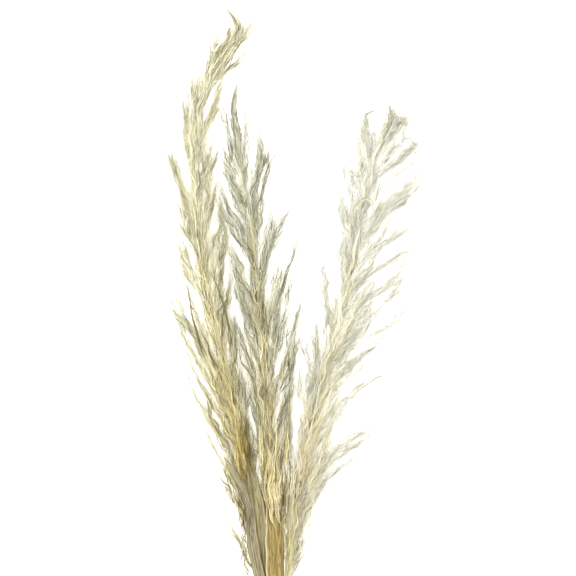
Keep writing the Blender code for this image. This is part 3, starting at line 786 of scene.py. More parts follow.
def makeSilk(silk):
    # The hairs read their shade from their place in the strands' map
    material, tree, shader, place = plainMaterial(silk["material"], 0.55)
    shader.inputs["Specular IOR Level"].default_value = 0.2
    parts = addNode(tree, "ShaderNodeSeparateXYZ", Vector=place)
    scaled = maths(tree, "MULTIPLY", parts.outputs["X"], float(toneBands))
    band = maths(tree, "DIVIDE", maths(tree, "FLOOR", scaled), toneBands - 1.0)
    tone = addNode(tree, "ShaderNodeMapRange", Value=maths(tree, "FRACT", scaled))
    tone.inputs["From Min"].default_value = bandMargin
    tone.inputs["From Max"].default_value = 1 - bandMargin
    streaks = useGroup(tree, fibreStreaks, Vector=place, Across=150.0, Along=5.0, Sharpness=1.6)
    shades = [
        ramp(tree, band, [(stop[0], stop[1 + k]) for stop in silk["shades"]]) for k in range(3)
    ]
    fibre = useGroup(tree, dryColour, Dark=shades[0], Middle=shades[1], Light=shades[2],
                     Tone=tone.outputs[0], Streak=streaks.outputs[0], Streak_Depth=0.3)
    # darker hairs have a darker, pointed tip
    nearTip = addNode(tree, "ShaderNodeMapRange", {"interpolation_type": "SMOOTHSTEP"},
                      Value=parts.outputs["Y"])
    nearTip.inputs["From Min"].default_value = 0.62
    nearTip.inputs["From Max"].default_value = 1.0
    darkness = maths(tree, "SUBTRACT", 1.0, maths(tree, "MULTIPLY", fibre.outputs["Tone"], 0.6))
    tipMask = maths(tree, "MULTIPLY", nearTip.outputs[0], darkness)
    tipMask = maths(tree, "MULTIPLY", tipMask, silk["tipShare"], clamp=True)
    colour = mixColour(tree, tipMask, fibre.outputs["Color"], silk["tipColour"])
    tree.links.new(colour, shader.inputs["Base Color"])
    rough = addNode(tree, "ShaderNodeMapRange", Value=streaks.outputs[0])
    rough.inputs["To Min"].default_value = 0.48
    rough.inputs["To Max"].default_value = 0.68
    tree.links.new(rough.outputs[0], shader.inputs["Roughness"])
    return material


# How the hairs stand on each plume: lengths and radii in millimetres, splay in degrees.
# fill: more branches inside, as the share of the plume where they leave, turn and fullness
leftHair = {
    "seed": 134, "extra": 26, "extraFullness": (0.1, 0.85), "footExtra": 12,
    "guidesPerMm": 0.055, "guidesPerLock": 5, "fineCount": 19000, "fineHair": (0.09, 0.17),
    "fineOnOuter": 0.8, "outerPointed": 30, "paintedFootGlow": 0.36, "longCount": 60,
    "outerBranch": {"taper": 0.6, "close": 0.8}, "outerLock": {"taper": 0.5},
    "outerShadeShift": 0.3, "shadeSpread": 0.42,
    "overStalkHeight": 8, "overStalkCount": 16, "overStalkShadeShift": -0.15,
    "overStalk": {"lastStart": 0.93, "length": (30, 80), "radius": 3.5, "splay": (0, 2),
                  "wave": (1.8, 34), "close": 0.5, "tone": 0.75, "toneSpread": 0.2,
                  "darkShare": 0.25},
    "linesPerMm": 0.032, "lineHair": (0.24, 0.46), "lineRise": 8, "lineShadeShift": -0.2,
    "lines": {"lastStart": 0.6, "length": (24, 70), "radius": 3.2, "splay": (0, 3), "flat": 0.5,
              "leastFill": 0.6, "wave": (1.5, 28), "reachTip": True, "close": 0.8,
              "taper": 0.3, "tone": 0.04, "toneSpread": 0.12},
    "long": {"lastStart": 0.93, "length": (70, 150), "radius": 10.0, "splay": (0, 3),
             "wave": (1.6, 42), "close": 0.35, "tone": 0.62, "toneSpread": 0.24,
             "darkShare": 0.2, "brightShare": 0.15},
    "outerTone": -0.05, "slimFrom": 0.86, "paintedCoreGlow": 0.52, "rimTone": 0.2, "pointed": 70,
    "downSilk": {"material": "creamDown", "shades": [
        (0.0, (0.20, 0.16, 0.07), (0.60, 0.49, 0.20), (0.92, 0.83, 0.48)),
        (0.45, (0.33, 0.31, 0.20), (0.70, 0.66, 0.43), (0.92, 0.90, 0.70)),
        (1.0, (0.33, 0.31, 0.20), (0.70, 0.66, 0.43), (0.92, 0.90, 0.70))]},
    "wisps": [
        [(-30, 126, 22), (-39, 136, 20), (-42, 149, 19), (-40, 157, 20), (-33, 155, 22)],
        [(-26, 108, 20), (-33, 116, 18), (-36, 127, 17), (-33, 138, 18), (-36, 147, 17)],
        [(-30, 150, 24), (-38, 166, 22), (-44, 180, 21), (-47, 196, 22), (-52, 208, 22)],
        [(-33, 168, 25), (-42, 184, 23), (-49, 199, 22), (-50, 214, 23), (-57, 226, 22)],
        [(-24, 92, 17), (-29, 101, 15), (-31, 112, 15), (-36, 119, 14)],
        [(-38, 160, 22), (-41, 172, 20), (-47, 186, 19), (-46, 200, 20)],
    ],
    # these stand beside the grey-green leaf
    "tufts": [
        [(-15, 100, 22), (-20, 128, 24), (-25, 158, 26), (-32, 188, 29), (-39, 220, 32)],
        [(-24, 86, 18), (-28, 106, 20), (-29, 126, 22), (-32, 146, 23), (-37, 168, 25)],
        [(-21, 108, 18), (-27, 136, 20), (-32, 166, 23), (-40, 198, 26)],
        [(-27, 150, 24), (-33, 176, 26), (-41, 204, 28), (-49, 236, 30)],
    ],
    "tuftsGuides": 10, "tuftsFineness": 0.5, "tuftsShadeShift": 0.2,
    "tuftsLook": {"lastStart": 0.8, "length": (24, 60), "radius": 3.0, "splay": (0, 4),
                  "wave": (1.6, 22), "close": 0.3, "tone": 0.5, "toneSpread": 0.34,
                  "evenTone": True},
    "goldTufts": [
        [(-29, 200, 44), (-32, 218, 47), (-35, 238, 46), (-38, 256, 43)],
        [(-26, 204, 43), (-30, 226, 46), (-31, 246, 45), (-35, 268, 42)],
    ],
    "goldTuftsGuides": 9, "goldTuftsFineness": 0.7, "goldTuftsShadeShift": -0.2,
    "goldTuftsLook": {"lastStart": 0.4, "length": (24, 60), "radius": 3.4, "splay": (0, 3),
                      "wave": (1.2, 26), "reachTip": True, "close": 0.8, "tone": 0.36,
                      "toneSpread": 0.16, "evenTone": True},
    "wispsGuides": 3, "wispsFineness": 0.5, "wispsShadeShift": 0.5,
    "wispsLook": {"lastStart": 0.5, "length": (14, 36), "radius": 1.4, "splay": (0, 8),
                  "wave": (1.6, 15), "tone": -0.25, "toneSpread": 0.1, "evenTone": True},
    "tips": [
        [(-54, 606, 18), (-46, 621, 18), (-40, 634, 17), (-37, 646, 16), (-40, 656, 15),
         (-46, 665, 14), (-52, 673, 13), (-57, 683, 12)],
        [(-55, 602, 18), (-45, 617, 18), (-37, 630, 17), (-30, 641, 16), (-25, 650, 15)],
        [(-57, 604, 18), (-52, 618, 18), (-47, 631, 17), (-46, 642, 16), (-48, 650, 15)],
    ],
    "tipsGuides": 9, "tipsFineness": 0.7,
    "tipsLook": {"lastStart": 0.6, "length": (18, 44), "radius": 1.8, "splay": (0, 2),
                 "wave": (0.4, 24), "reachTip": True, "close": 0.5, "tone": 0.3,
                 "toneSpread": 0.26, "evenTone": True, "atTip": True},
    "strays": [
        [(-45, 318, 46), (-44, 340, 51), (-50, 368, 54), (-58, 392, 54), (-71, 413, 51)],
        [(-62, 300, 38), (-74, 330, 37), (-83, 362, 34), (-88, 396, 29)],
    ],
    "straysGuides": 3, "straysFineness": 1.2, "straysShadeShift": -0.15,
    "straysLook": {"lastStart": 0.05, "length": (110, 130), "radius": 0.6, "splay": (0, 0),
                   "wave": (0.7, 30), "reachTip": True, "close": 0.5, "tone": -0.15,
                   "toneSpread": 0.05, "evenTone": True},
    "fill": [(0.19, 0.1, 0.8), (0.24, -0.3, 0.95), (0.28, 0.4, 0.7), (0.33, 0.0, 0.95),
             (0.38, -0.2, 0.75), (0.42, 0.3, 0.95), (0.47, 0.0, 0.8)],
    "branch": {"lastStart": 0.78, "length": (22, 80), "radius": 4.4, "splay": (0, 2),
               "wave": (1.7, 40), "reachTip": True, "close": 0.75, "tone": 0.77,
               "toneSpread": 0.22, "tuftTone": 0.1, "rimDark": 0.25, "brightShare": 0.16,
               "drift": (0.0, 0.4)},
    "lock": {"lastStart": 0.25, "length": (16, 52), "radius": 2.8, "splay": (0, 3),
             "wave": (1.1, 30), "reachTip": True, "rootwards": 1.3, "close": 0.85,
             "taper": 0.3, "tone": 0.76, "toneSpread": 0.18, "tuftTone": 0.16, "rimDark": 0.45,
             "drift": (0.0, 0.2)},
    "clump": {"hairs": 5, "latestRoot": 0.3, "earliestTip": 0.55, "clumpRadius": (0.4, 1.3),
              "edgeDark": 0.36, "thick": 0.32, "hair": (0.18, 0.38), "toneNoise": 0.12},
    "fine": {"lastStart": 0.95, "length": (16, 44), "radius": 3.4, "splay": (3, 22),
             "narrowTip": 0.55, "wave": (0.9, 20), "tone": 0.72},
    "overLeaves": [
        [(-33, 186, 40), (-36, 215, 44), (-39, 250, 45), (-44, 286, 43)],
        [(-27, 196, 40), (-30, 225, 44), (-33, 262, 44), (-37, 296, 42)],
    ],
    "overGuides": 10,
    "overLook": {"lastStart": 0.3, "length": (40, 80), "radius": 4.0, "splay": (0, 2),
                 "wave": (1.0, 40), "close": 0.6, "tone": 0.2, "darkShare": 0.1,
                 "toneSpread": 0.14, "drift": (0.0, 0.2)},
}
centreHair = {
    "seed": 150, "extra": 24, "extraFullness": (0.1, 0.85), "footExtra": 14,
    "guidesPerMm": 0.055, "guidesPerLock": 5, "fineCount": 16500, "fineHair": (0.085, 0.16),
    "fineOnOuter": 0.9, "outerPointed": 12, "paintedFootGlow": 0.48, "longCount": 60,
    "outerBranch": {"taper": 0.6, "close": 0.8}, "outerLock": {"taper": 0.5},
    "outerShadeShift": 0.2, "shadeSpread": 0.36,
    "overStalkHeight": 8, "overStalkCount": 16, "overStalkShadeShift": -0.12,
    "overStalk": {"lastStart": 0.93, "length": (30, 76), "radius": 3.5, "splay": (0, 2),
                  "wave": (1.8, 32), "close": 0.5, "tone": 0.7, "toneSpread": 0.22,
                  "darkShare": 0.35},
    "linesPerMm": 0.04, "lineHair": (0.24, 0.46), "lineRise": 8, "lineShadeShift": 0.0,
    "lines": {"lastStart": 0.6, "length": (24, 66), "radius": 2.8, "splay": (0, 3), "flat": 0.5,
              "leastFill": 0.6, "wave": (1.5, 26), "reachTip": True, "close": 0.8,
              "taper": 0.3, "tone": 0.0, "toneSpread": 0.12},
    "tufts": [
        [(-33, 468, 30), (-31, 492, 29), (-28, 514, 27), (-26, 534, 25)],
        [(-25, 478, 28), (-20, 498, 26), (-17, 518, 24), (-17, 541, 23)],
    ],
    "goldTufts": [
        [(-12, 184, 44), (-8, 204, 46), (-6, 224, 45), (-9, 246, 43)],
        [(-6, 170, 43), (-3, 192, 46), (-2, 214, 45), (-4, 238, 43)],
        [(3, 150, 41), (2, 172, 44), (5, 196, 45), (4, 222, 43)],
        [(-10, 200, 45), (-14, 222, 46), (-13, 244, 44), (-17, 268, 42)],
    ],
    "goldTuftsGuides": 15, "goldTuftsFineness": 0.42, "goldTuftsShadeShift": -0.2,
    "goldTuftsLook": {"lastStart": 0.4, "length": (24, 60), "radius": 3.6, "splay": (0, 3),
                      "wave": (1.0, 28), "reachTip": True, "close": 0.7, "tone": 0.88,
                      "toneSpread": 0.2, "evenTone": True},
    "tuftsGuides": 6, "tuftsFineness": 0.6,
    "tuftsLook": {"lastStart": 0.5, "length": (18, 50), "radius": 2.4, "splay": (0, 3),
                  "wave": (0.9, 24), "reachTip": True, "close": 0.9, "taper": 0.4,
                  "tone": 0.62, "toneSpread": 0.2, "rimDark": 0.3, "evenTone": True},
    "long": {"lastStart": 0.93, "length": (60, 140), "radius": 9.0, "splay": (0, 3),
             "wave": (1.7, 40), "close": 0.35, "tone": 0.6, "toneSpread": 0.26,
             "darkShare": 0.24, "brightShare": 0.15},
    "outerTone": -0.05, "slimFrom": 0.84, "paintedCoreGlow": 0.34, "rimTone": 0.17, "pointed": 90,
    "downSilk": {"material": "khakiDown", "shades": [
        (0.0, (0.18, 0.14, 0.06), (0.60, 0.49, 0.20), (0.93, 0.84, 0.50)),
        (0.45, (0.24, 0.225, 0.15), (0.62, 0.595, 0.41), (0.90, 0.89, 0.75)),
        (1.0, (0.26, 0.25, 0.18), (0.64, 0.63, 0.49), (0.90, 0.895, 0.78))]},
    "fill": [(0.16, 3.1, 0.8), (0.24, 3.4, 0.9), (0.30, 2.8, 0.7), (0.36, 3.2, 0.9)],
    "branch": {"lastStart": 0.78, "length": (22, 76), "radius": 3.8, "splay": (0, 2),
               "wave": (1.8, 38), "reachTip": True, "close": 0.75, "tone": 0.8,
               "toneSpread": 0.28, "tuftTone": 0.12, "darkShare": 0.3, "rimDark": 0.3,
               "brightShare": 0.16,
               "drift": (0.0, 0.35)},
    "lock": {"lastStart": 0.25, "length": (16, 50), "radius": 2.5, "splay": (0, 3),
             "wave": (1.2, 29), "reachTip": True, "rootwards": 1.3, "close": 0.85,
             "taper": 0.4, "tone": 0.8, "toneSpread": 0.24, "tuftTone": 0.18,
             "darkShare": 0.28, "rimDark": 0.5, "drift": (0.0, 0.2)},
    "clump": {"hairs": 5, "latestRoot": 0.3, "earliestTip": 0.55, "clumpRadius": (0.35, 1.2),
              "edgeDark": 0.38, "thick": 0.32, "hair": (0.17, 0.33), "toneNoise": 0.13},
    "fine": {"lastStart": 0.95, "length": (14, 42), "radius": 3.2, "splay": (3, 25),
             "narrowTip": 0.55, "wave": (0.9, 18), "tone": 0.8},
    "overLeaves": [
        [(10, 70, 27), (13, 120, 37), (10, 180, 42), (14, 236, 41)],
        [(2, 142, 40), (-4, 172, 43), (-6, 205, 44), (-2, 262, 41)],
        [(8, 142, 38), (3, 172, 42), (0, 210, 43), (5, 256, 41)],
        [(13, 88, 31), (18, 140, 37), (22, 200, 40), (24, 250, 38)],
        [(-4, 160, 42), (-9, 190, 43), (-12, 226, 43), (-11, 270, 42)],
        [(12, 160, 38), (14, 190, 41), (12, 226, 42), (16, 274, 40)],
    ],
    "overGuides": 22,
    "overLook": {"lastStart": 0.6, "length": (30, 76), "radius": 5.0, "splay": (0, 2),
                 "wave": (1.1, 30), "close": 0.4, "tone": 0.5, "darkShare": 0.2,
                 "brightShare": 0.12, "toneSpread": 0.2, "drift": (0.0, 0.2)},
}
rightHair = {
    "seed": 162, "extra": 30, "extraFullness": (0.12, 0.9), "footExtra": 2,
    "guidesPerMm": 0.045, "guidesPerLock": 2, "fineCount": 21500, "fineHair": (0.1, 0.19),
    "fineOnOuter": 1.0, "outerPointed": 12, "paintedFootGlow": 0.44, "longCount": 40,
    "outerBranch": {"taper": 0.4, "close": 0.4, "splay": (1, 12), "radius": 3.0},
    "outerLock": {"reachTip": True, "taper": 0.5, "splay": (4, 20)},
    "outerShadeShift": 0.35, "shadeSpread": 0.7,
    "overStalkHeight": 10, "overStalkCount": 34, "overStalkShadeShift": -0.6,
    "overStalk": {"lastStart": 0.93, "length": (30, 70), "radius": 2.6, "splay": (0, 2),
                  "wave": (1.5, 30), "close": 0.5, "tone": 0.72, "toneSpread": 0.22,
                  "darkShare": 0.2},
    "linesPerMm": 0.06, "lineHair": (0.15, 0.26), "lineRise": 8, "lineShadeShift": -0.2,
    "lines": {"lastStart": 0.8, "length": (16, 46), "radius": 3.0, "splay": (3, 24), "flat": 0.7,
              "leastFill": 0.3, "wave": (1.8, 20), "close": 0.3, "taper": 0.3,
              "curlIn": 0.5, "narrowTip": 0.4, "tone": 0.14, "toneSpread": 0.16},
    "long": {"lastStart": 0.93, "length": (40, 100), "radius": 4.5, "splay": (0, 3),
             "wave": (1.8, 36), "close": 0.3, "tone": 0.8, "toneSpread": 0.2,
             "darkShare": 0.18, "brightShare": 0.1},
    "outerTone": -0.04, "slimFrom": 0.88, "paintedCoreGlow": 0.34, "rimTone": 0.1, "pointed": 14,
    "downSilk": {"material": "paleDown", "shades": [
        (0.0, (0.50, 0.46, 0.31), (0.88, 0.81, 0.54), (0.98, 0.95, 0.73)),
        (0.4, (0.50, 0.49, 0.40), (0.82, 0.815, 0.71), (0.95, 0.95, 0.88)),
        (1.0, (0.50, 0.49, 0.41), (0.82, 0.815, 0.73), (0.95, 0.95, 0.90))]},
    "wisps": [
        [(14, 104, 20), (20, 120, 19), (23, 138, 18), (21, 152, 18), (27, 166, 18)],
        [(16, 100, 18), (22, 112, 16), (26, 130, 15), (30, 146, 16), (37, 160, 16)],
        [(20, 128, 20), (27, 144, 19), (30, 160, 18), (37, 172, 17), (39, 186, 18)],
        [(16, 92, 17), (19, 108, 14), (24, 118, 13), (24, 132, 14), (30, 143, 14)],
        [(24, 150, 22), (33, 166, 20), (38, 184, 19), (46, 196, 19), (50, 208, 20)],
    ],
    "goldTufts": [
        [(8, 150, 38), (13, 172, 41), (18, 196, 42), (24, 222, 42)],
        [(14, 160, 37), (21, 184, 40), (28, 210, 41), (33, 238, 41)],
        [(18, 190, 39), (26, 214, 41), (35, 240, 42), (44, 268, 41)],
        [(28, 214, 39), (38, 240, 41), (50, 268, 42), (58, 300, 41)],
    ],
    "goldTuftsGuides": 9, "goldTuftsFineness": 0.5, "goldTuftsShadeShift": -0.6,
    "goldTuftsLook": {"lastStart": 0.5, "length": (26, 66), "radius": 4.4, "splay": (0, 5),
                      "wave": (1.5, 26), "close": 0.4, "tone": 0.32, "toneSpread": 0.24,
                      "evenTone": True},
    "wispsGuides": 4, "wispsFineness": 0.45, "wispsShadeShift": 0.4,
    "wispsLook": {"lastStart": 0.5, "length": (16, 44), "radius": 2.0, "splay": (0, 8),
                  "wave": (1.6, 16), "tone": -0.1, "toneSpread": 0.12, "evenTone": True},
    "fill": [(0.1, 0.3, 0.7), (0.16, -0.3, 0.8), (0.22, 0.2, 0.6), (0.3, 0.0, 0.7),
             (0.38, 0.3, 0.7), (0.5, 0.0, 0.6), (0.6, -0.3, 0.6), (0.7, 0.2, 0.6)],
    "branch": {"lastStart": 0.8, "length": (30, 68), "radius": 3.4, "splay": (0, 4),
               "wave": (2.0, 36), "reachTip": True, "close": 0.6, "tone": 0.78,
               "toneSpread": 0.24, "drift": (0.0, 0.4)},
    "lock": {"lastStart": 0.5, "length": (18, 38), "radius": 2.6, "splay": (2, 8),
             "wave": (1.2, 24), "rootwards": 1.3, "close": 0.7, "taper": 0.3, "tone": 0.8,
             "toneSpread": 0.18, "tuftTone": 0.12, "rimDark": 0.35, "drift": (0.0, 0.2)},
    "clump": {"hairs": 5, "latestRoot": 0.3, "earliestTip": 0.7, "clumpRadius": (0.4, 1.2),
              "edgeDark": 0.28, "thick": 0.24, "hair": (0.13, 0.28), "toneNoise": 0.12},
    "fine": {"lastStart": 0.96, "length": (13, 36), "radius": 2.7, "splay": (10, 40),
             "narrowTip": 0.6, "curlIn": 0.6, "wave": (1.2, 18), "tone": 0.5, "flat": 0.9},
    "tufts": [
        [(103, 516, 23), (105, 534, 23), (107, 550, 22), (110, 562, 21), (116, 571, 20)],
        [(108, 520, 22), (112, 536, 22), (116, 549, 21), (121, 560, 21), (127, 560, 21),
         (131, 551, 20), (129, 541, 20)],
        [(92, 522, 26), (89, 540, 26), (88, 556, 25), (90, 571, 24)],
        [(106, 508, 23), (116, 522, 22), (126, 534, 21), (134, 538, 20), (139, 533, 19)],
        [(101, 482, 25), (112, 494, 24), (125, 503, 22), (139, 514, 20)],
        [(106, 458, 26), (118, 472, 24), (132, 486, 21), (143, 500, 18)],
        [(98, 488, 27), (89, 498, 27), (80, 503, 25), (73, 505, 23)],
        [(86, 440, 27), (77, 455, 26), (71, 466, 24), (65, 481, 22)],
    ],
    "tuftsGuides": 9, "tuftsFineness": 0.45,
    "tuftsLook": {"lastStart": 0.5, "length": (18, 50), "radius": 3.8, "splay": (0, 8),
                  "wave": (1.3, 20), "reachTip": True, "close": 0.2, "taper": 0.3,
                  "tone": 0.6, "toneSpread": 0.26, "rimDark": 0.2, "evenTone": True},
    "loops": [
        [(92, 482, 40), (86, 496, 43), (83, 512, 44), (86, 531, 43), (90, 526, 43),
         (92, 510, 43), (94, 494, 41)],
        [(77, 434, 44), (74, 452, 46), (80, 470, 46), (90, 478, 46), (97, 472, 45),
         (96, 456, 44), (88, 440, 44)],
        [(100, 524, 34), (110, 540, 36), (116, 556, 36), (122, 566, 36), (129, 564, 35),
         (131, 553, 34), (126, 545, 34)],
    ],
    "loopsGuides": 8, "loopsFineness": 0.45, "loopsShadeShift": -0.35,
    "loopsLook": {"lastStart": 0.3, "length": (60, 90), "radius": 2.0, "splay": (0, 1),
                  "wave": (0.4, 30), "reachTip": True, "close": 0.5, "tone": 0.45,
                  "toneSpread": 0.2, "evenTone": True},
}


def shareOf(stalk, y):
    foot, tipY = stalk["plumeFrom"], stalk["line"][-1][1]
    return (np.asarray(y, float) - foot) / (tipY - foot)


def measured(stalk):
    # The stalk's line and its plume's reach to the left and right, at many levels
    line, spread = stalk["line"], stalk["spread"]
    levels = np.linspace(stalk["plumeFrom"], line[-1][1], 160)
    over = np.array([onLine(line, y) for y in levels])
    reach = np.array([[between(spread, y, side) for side in (1, 2)] for y in levels])
    return levels, over, reach


stalkTables = {side: measured(stalk) for side, stalk in stalks.items()}


def towardsCore(side, centres):
    # 1 on the stalk's line and 0 at the plume's outline, for the middle of every hair
    levels, over, reach = stalkTables[side]
    middle = centres[:, centres.shape[1] * 2 // 3]
    aside = middle[:, 0] - np.interp(middle[:, 1], levels, over[:, 0])
    left, right = (np.interp(middle[:, 1], levels, reach[:, k]) for k in (0, 1))
    return 1 - np.minimum(1.3, np.abs(aside) / np.where(aside > 0, right, left))


def toneByPlace(side, centres, hair):
    # Painted light: lighter at the stalk and at the plume's foot, a painted glow in place of light
    # through the translucent hairs, and darker at the outline
    tone = hair["paintedCoreGlow"] * towardsCore(side, centres) - hair["rimTone"]
    share = shareOf(stalks[side], centres[:, centres.shape[1] // 2, 1])
    return tone + hair["paintedFootGlow"] * np.clip(1 - share / 0.3, 0, 1)


def shadeByPlace(side, centres, hair, shift):
    # More golden at the stalk and greyer at the outline
    share = shareOf(stalks[side], centres[:, 0, 1])
    moved = share + shift + hair["shadeSpread"] * (0.4 - towardsCore(side, centres))
    return np.minimum(moved, np.maximum(share, 0.82))


def pointed(side, centres, length):
    # The hairs draw together towards the plume's tip, and those that pass it are shorter
    levels, over, reach = stalkTables[side]
    top = levels[-1] + 2
    # at the tip itself the hairs end one after another
    top = top - 9 * (1 + np.sin(91.7 * centres[:, :1, 0]))
    root, high = centres[:, :1, 1], centres[..., 1].max(1, keepdims=True)
    root = np.minimum(root, top - 6)
    scale = np.where(high > top, (top - root) / np.maximum(high - root, 1), 1.0)
    y = root + (centres[..., 1] - root) * scale
    keep = np.clip((levels[-1] + 2 - y) / length, 0, 1) ** 1.2
    for axis in (0, 2):
        middle = np.interp(y, levels, over[:, axis])
        centres[..., axis] = middle + (centres[..., axis] - middle) * keep
    centres[..., 1] = y


def pathLength(path):
    return float(np.linalg.norm(np.diff(path, axis=0), axis=1).sum())


def throughPoints(points, samples=25):
    # A smooth path through the points, which may bend back
    points = np.asarray(points, float)
    ends = np.concatenate([2 * points[:1] - points[1:2], points, 2 * points[-1:] - points[-2:-1]])
    path = []
    for at in np.linspace(0, len(points) - 1, samples):
        i = min(int(at), len(points) - 2)
        t = at - i
        a, b, c, d = ends[i:i + 4]
        path.append(b + 0.5 * t * (c - a + t * (2 * a - 5 * b + 4 * c - d
                                                + t * (3 * (b - c) + d - a))))
    return np.array(path)


def makePlume(side, hair, silk):
    stalk = stalks[side]
    draw = np.random.default_rng(hair["seed"])
    branches, locks = growPlume(stalk)
    rule = random.Random(hair["seed"])
    extra = ruledCurves(stalk, hair["extra"], rule, hair["extraFullness"], 1.0)
    extra += [
        ruledCurve(stalk, rule.uniform(0.0, 0.3), k * goldenAngle, rule.uniform(0.25, 0.95))
        for k in range(hair["footExtra"])
    ]
    extra += [ruledCurve(stalk, *one) for one in hair["fill"]]
    for curve in extra:
        slim = min(1.0, 0.6 + 0.4 * (curve[3] - curve[0]).length / 80)
        branches.append({"path": smoothPath(stalk, curve, 2.0, False), "slim": slim,
                         "rests": False, "outer": False, "rootY": curve[0].y})
    batches, fineBatches = [], []

    def grow(path, count, look, slim, toneShift=0.0, free=False, fineness=1.0, shadeShift=0.0,
             outer=False):
        look = dict(look, radius=look["radius"] * slim, tone=look["tone"] + toneShift)
        upStalk = np.array(directionOn(stalk["line"], path[len(path) // 2][1]))
        if "drift" not in look:
            upStalk = None
        guides, tones = tuft(path, count, look, guideStations, draw, upStalk)
        if not look.get("evenTone"):
            tones = tones + toneByPlace(side, guides, hair)
        if not look.get("atTip"):
            pointed(side, guides, hair["outerPointed" if outer else "pointed"])
        stations = strandStations["lock"]
        centres, radius, tone = clump(guides, tones, hair["clump"], stations, draw, fineness)
        if not free:
            pressedUnderLeaves(centres)
        if look.get("evenTone"):
            share = shareOf(stalk, centres[:, 0, 1]) + shadeShift
        else:
            share = shadeByPlace(side, centres, hair, shadeShift)
        broad = np.arange(len(centres)) % hair["clump"]["hairs"] == 0
        for kind, sides in ((broad, spindle), (~broad, ribbon)):
            batches.append((centres[kind], radius[kind], tone[kind], share[kind], stations, sides))

    footEnds = 1.3 * stalk["plumeFrom"]
    for branch in branches:
        paler = hair["outerShadeShift"] if branch["outer"] else 0.0
        greyer = 0.0
        if branch["outer"] and branch["rootY"] < footEnds:
            # the lowest outer branches are single grey wisps
            branch["slim"] *= 0.45
            paler, greyer = paler + 0.2, 0.6
        if branch["outer"]:
            branch["slim"] *= 0.8
        nearTip = float(shareOf(stalk, branch["path"][-1][1]))
        slimFrom = hair["slimFrom"]
        thinner = 1 - 0.7 * min(1.0, max(0.0, (nearTip - slimFrom) / (1 - slimFrom)))
        branch["slim"] *= thinner
        branch["few"] = thinner
        count = max(2, round(pathLength(branch["path"]) * hair["guidesPerMm"] * thinner))
        if branch["outer"]:
            look = dict(hair["branch"], drift=(0, 0), lastStart=0.5, **hair["outerBranch"])
            grow(branch["path"], max(4, count), look, branch["slim"], hair["outerTone"] - greyer,
                 fineness=0.65, shadeShift=paler, outer=True)
        else:
            grow(branch["path"], count, hair["branch"], branch["slim"])
        # the branch's own thin axis
        stations = strandStations["long"]
        axis = np.stack([np.interp(stations, np.linspace(0, 1, len(branch["path"])),
                                   branch["path"][:, k]) for k in range(3)], -1)[None]
        pull = hair["outerPointed" if branch["outer"] else "pointed"]
        pointed(side, axis, pull)
        batches.append((axis, np.array([0.28 if branch["outer"] else 0.45]), np.array([0.3]),
                        shareOf(stalk, axis[:, 0, 1]) + paler, stations, spindle))
    for lock in locks:
        if lock["outer"]:
            low = lock["path"][0][1] < 1.6 * footEnds
            grow(lock["path"], 2, dict(hair["lock"], **hair["outerLock"]), lock["slim"],
                 -0.5 if low else 0.0, fineness=0.65, outer=True,
                 shadeShift=hair["outerShadeShift"] + (0.2 if low else 0.0))
        else:
            grow(lock["path"], hair["guidesPerLock"], hair["lock"], lock["slim"])
    # long hairs that follow the stalk
    levels, over, reach = stalkTables[side]
    grow(over[::4], hair["longCount"], hair["long"], 1.0)
    raised = over[32::4] + np.array([0, 0, hair["overStalkHeight"]])
    grow(raised, hair["overStalkCount"], hair["overStalk"], 1.0, free=True, fineness=0.6,
         shadeShift=hair["overStalkShadeShift"])
    everyPath = [(b["path"], b["slim"], b["few"], b["outer"]) for b in branches]
    everyPath += [(k["path"], k["slim"], hair["fineOnOuter"] if k["outer"] else 1.0, k["outer"])
                  for k in locks]
    everyPath += [(throughPoints(path), 0.8, 1.0, True) for path in hair.get("tufts", [])]
    total = sum(pathLength(path) for path, slim, few, outer in everyPath)
    for path, slim, few, outer in everyPath:
        # single dark hairs along both sides of the tuft
        count = max(1, round(hair["linesPerMm"] * pathLength(path) * few))
        look = dict(hair["lines"], radius=hair["lines"]["radius"] * slim)
        centres, tone = tuft(path, count, look, strandStations["lock"], draw)
        rise = hair["lineRise"] * draw.uniform(0, 1, (count, 1))
        centres[..., 2] += rise * np.sin(math.pi * strandStations["lock"])
        pressedUnderLeaves(centres)
        pointed(side, centres, hair["outerPointed" if outer else "pointed"])
        share = shareOf(stalk, centres[:, 0, 1]) + hair["lineShadeShift"]
        batches.append((centres, draw.uniform(*hair["lineHair"], count), tone, share,
                        strandStations["lock"], spindle))
        # fewer at the foot, where the plume is a sheaf of long hairs
        rich = min(1.0, 0.25 + 3.0 * max(0.0, float(shareOf(stalk, path[0][1]))))
        count = max(3, round(hair["fineCount"] * rich * few * pathLength(path) / total))
        look = dict(hair["fine"], radius=hair["fine"]["radius"] * slim)
        centres, tone = tuft(path, count, look, strandStations["fine"], draw)
        pressedUnderLeaves(centres)
        tone = tone + toneByPlace(side, centres, hair)
        pointed(side, centres, hair["outerPointed" if outer else "pointed"])
        share = shadeByPlace(side, centres, hair, hair["outerShadeShift"] if outer else 0.0)
        fineBatches.append((centres, draw.uniform(*hair["fineHair"], count), tone, share,
                            strandStations["fine"], ribbon))
    for path in hair.get("overLeaves", []):
        smooth = [onLine(path, y) for y in np.linspace(path[0][1], path[-1][1], 12)]
        grow(smooth, hair["overGuides"], hair["overLook"], 1.0, free=True, fineness=0.6)
    for kind in ("goldTufts", "tufts", "tips", "loops", "wisps", "strays"):
        for path in hair.get(kind, []):
            grow(throughPoints(path), hair[kind + "Guides"], hair[kind + "Look"], 1.0, free=True,
                 outer=True,
                 fineness=hair.get(kind + "Fineness", 1.0),
                 shadeShift=hair.get(kind + "ShadeShift", 0.0))
    material, paler = makeSilk(silk), makeSilk(dict(silk, **hair["downSilk"]))
    body = strandMesh(side + "PlumeLocks", batches, draw)
    fluff = strandMesh(side + "PlumeDown", fineBatches, draw)
    pieceObject(body.name, body, material, silk["slot"], "plume_" + side)
    pieceObject(fluff.name, fluff, paler, silk["slot"])
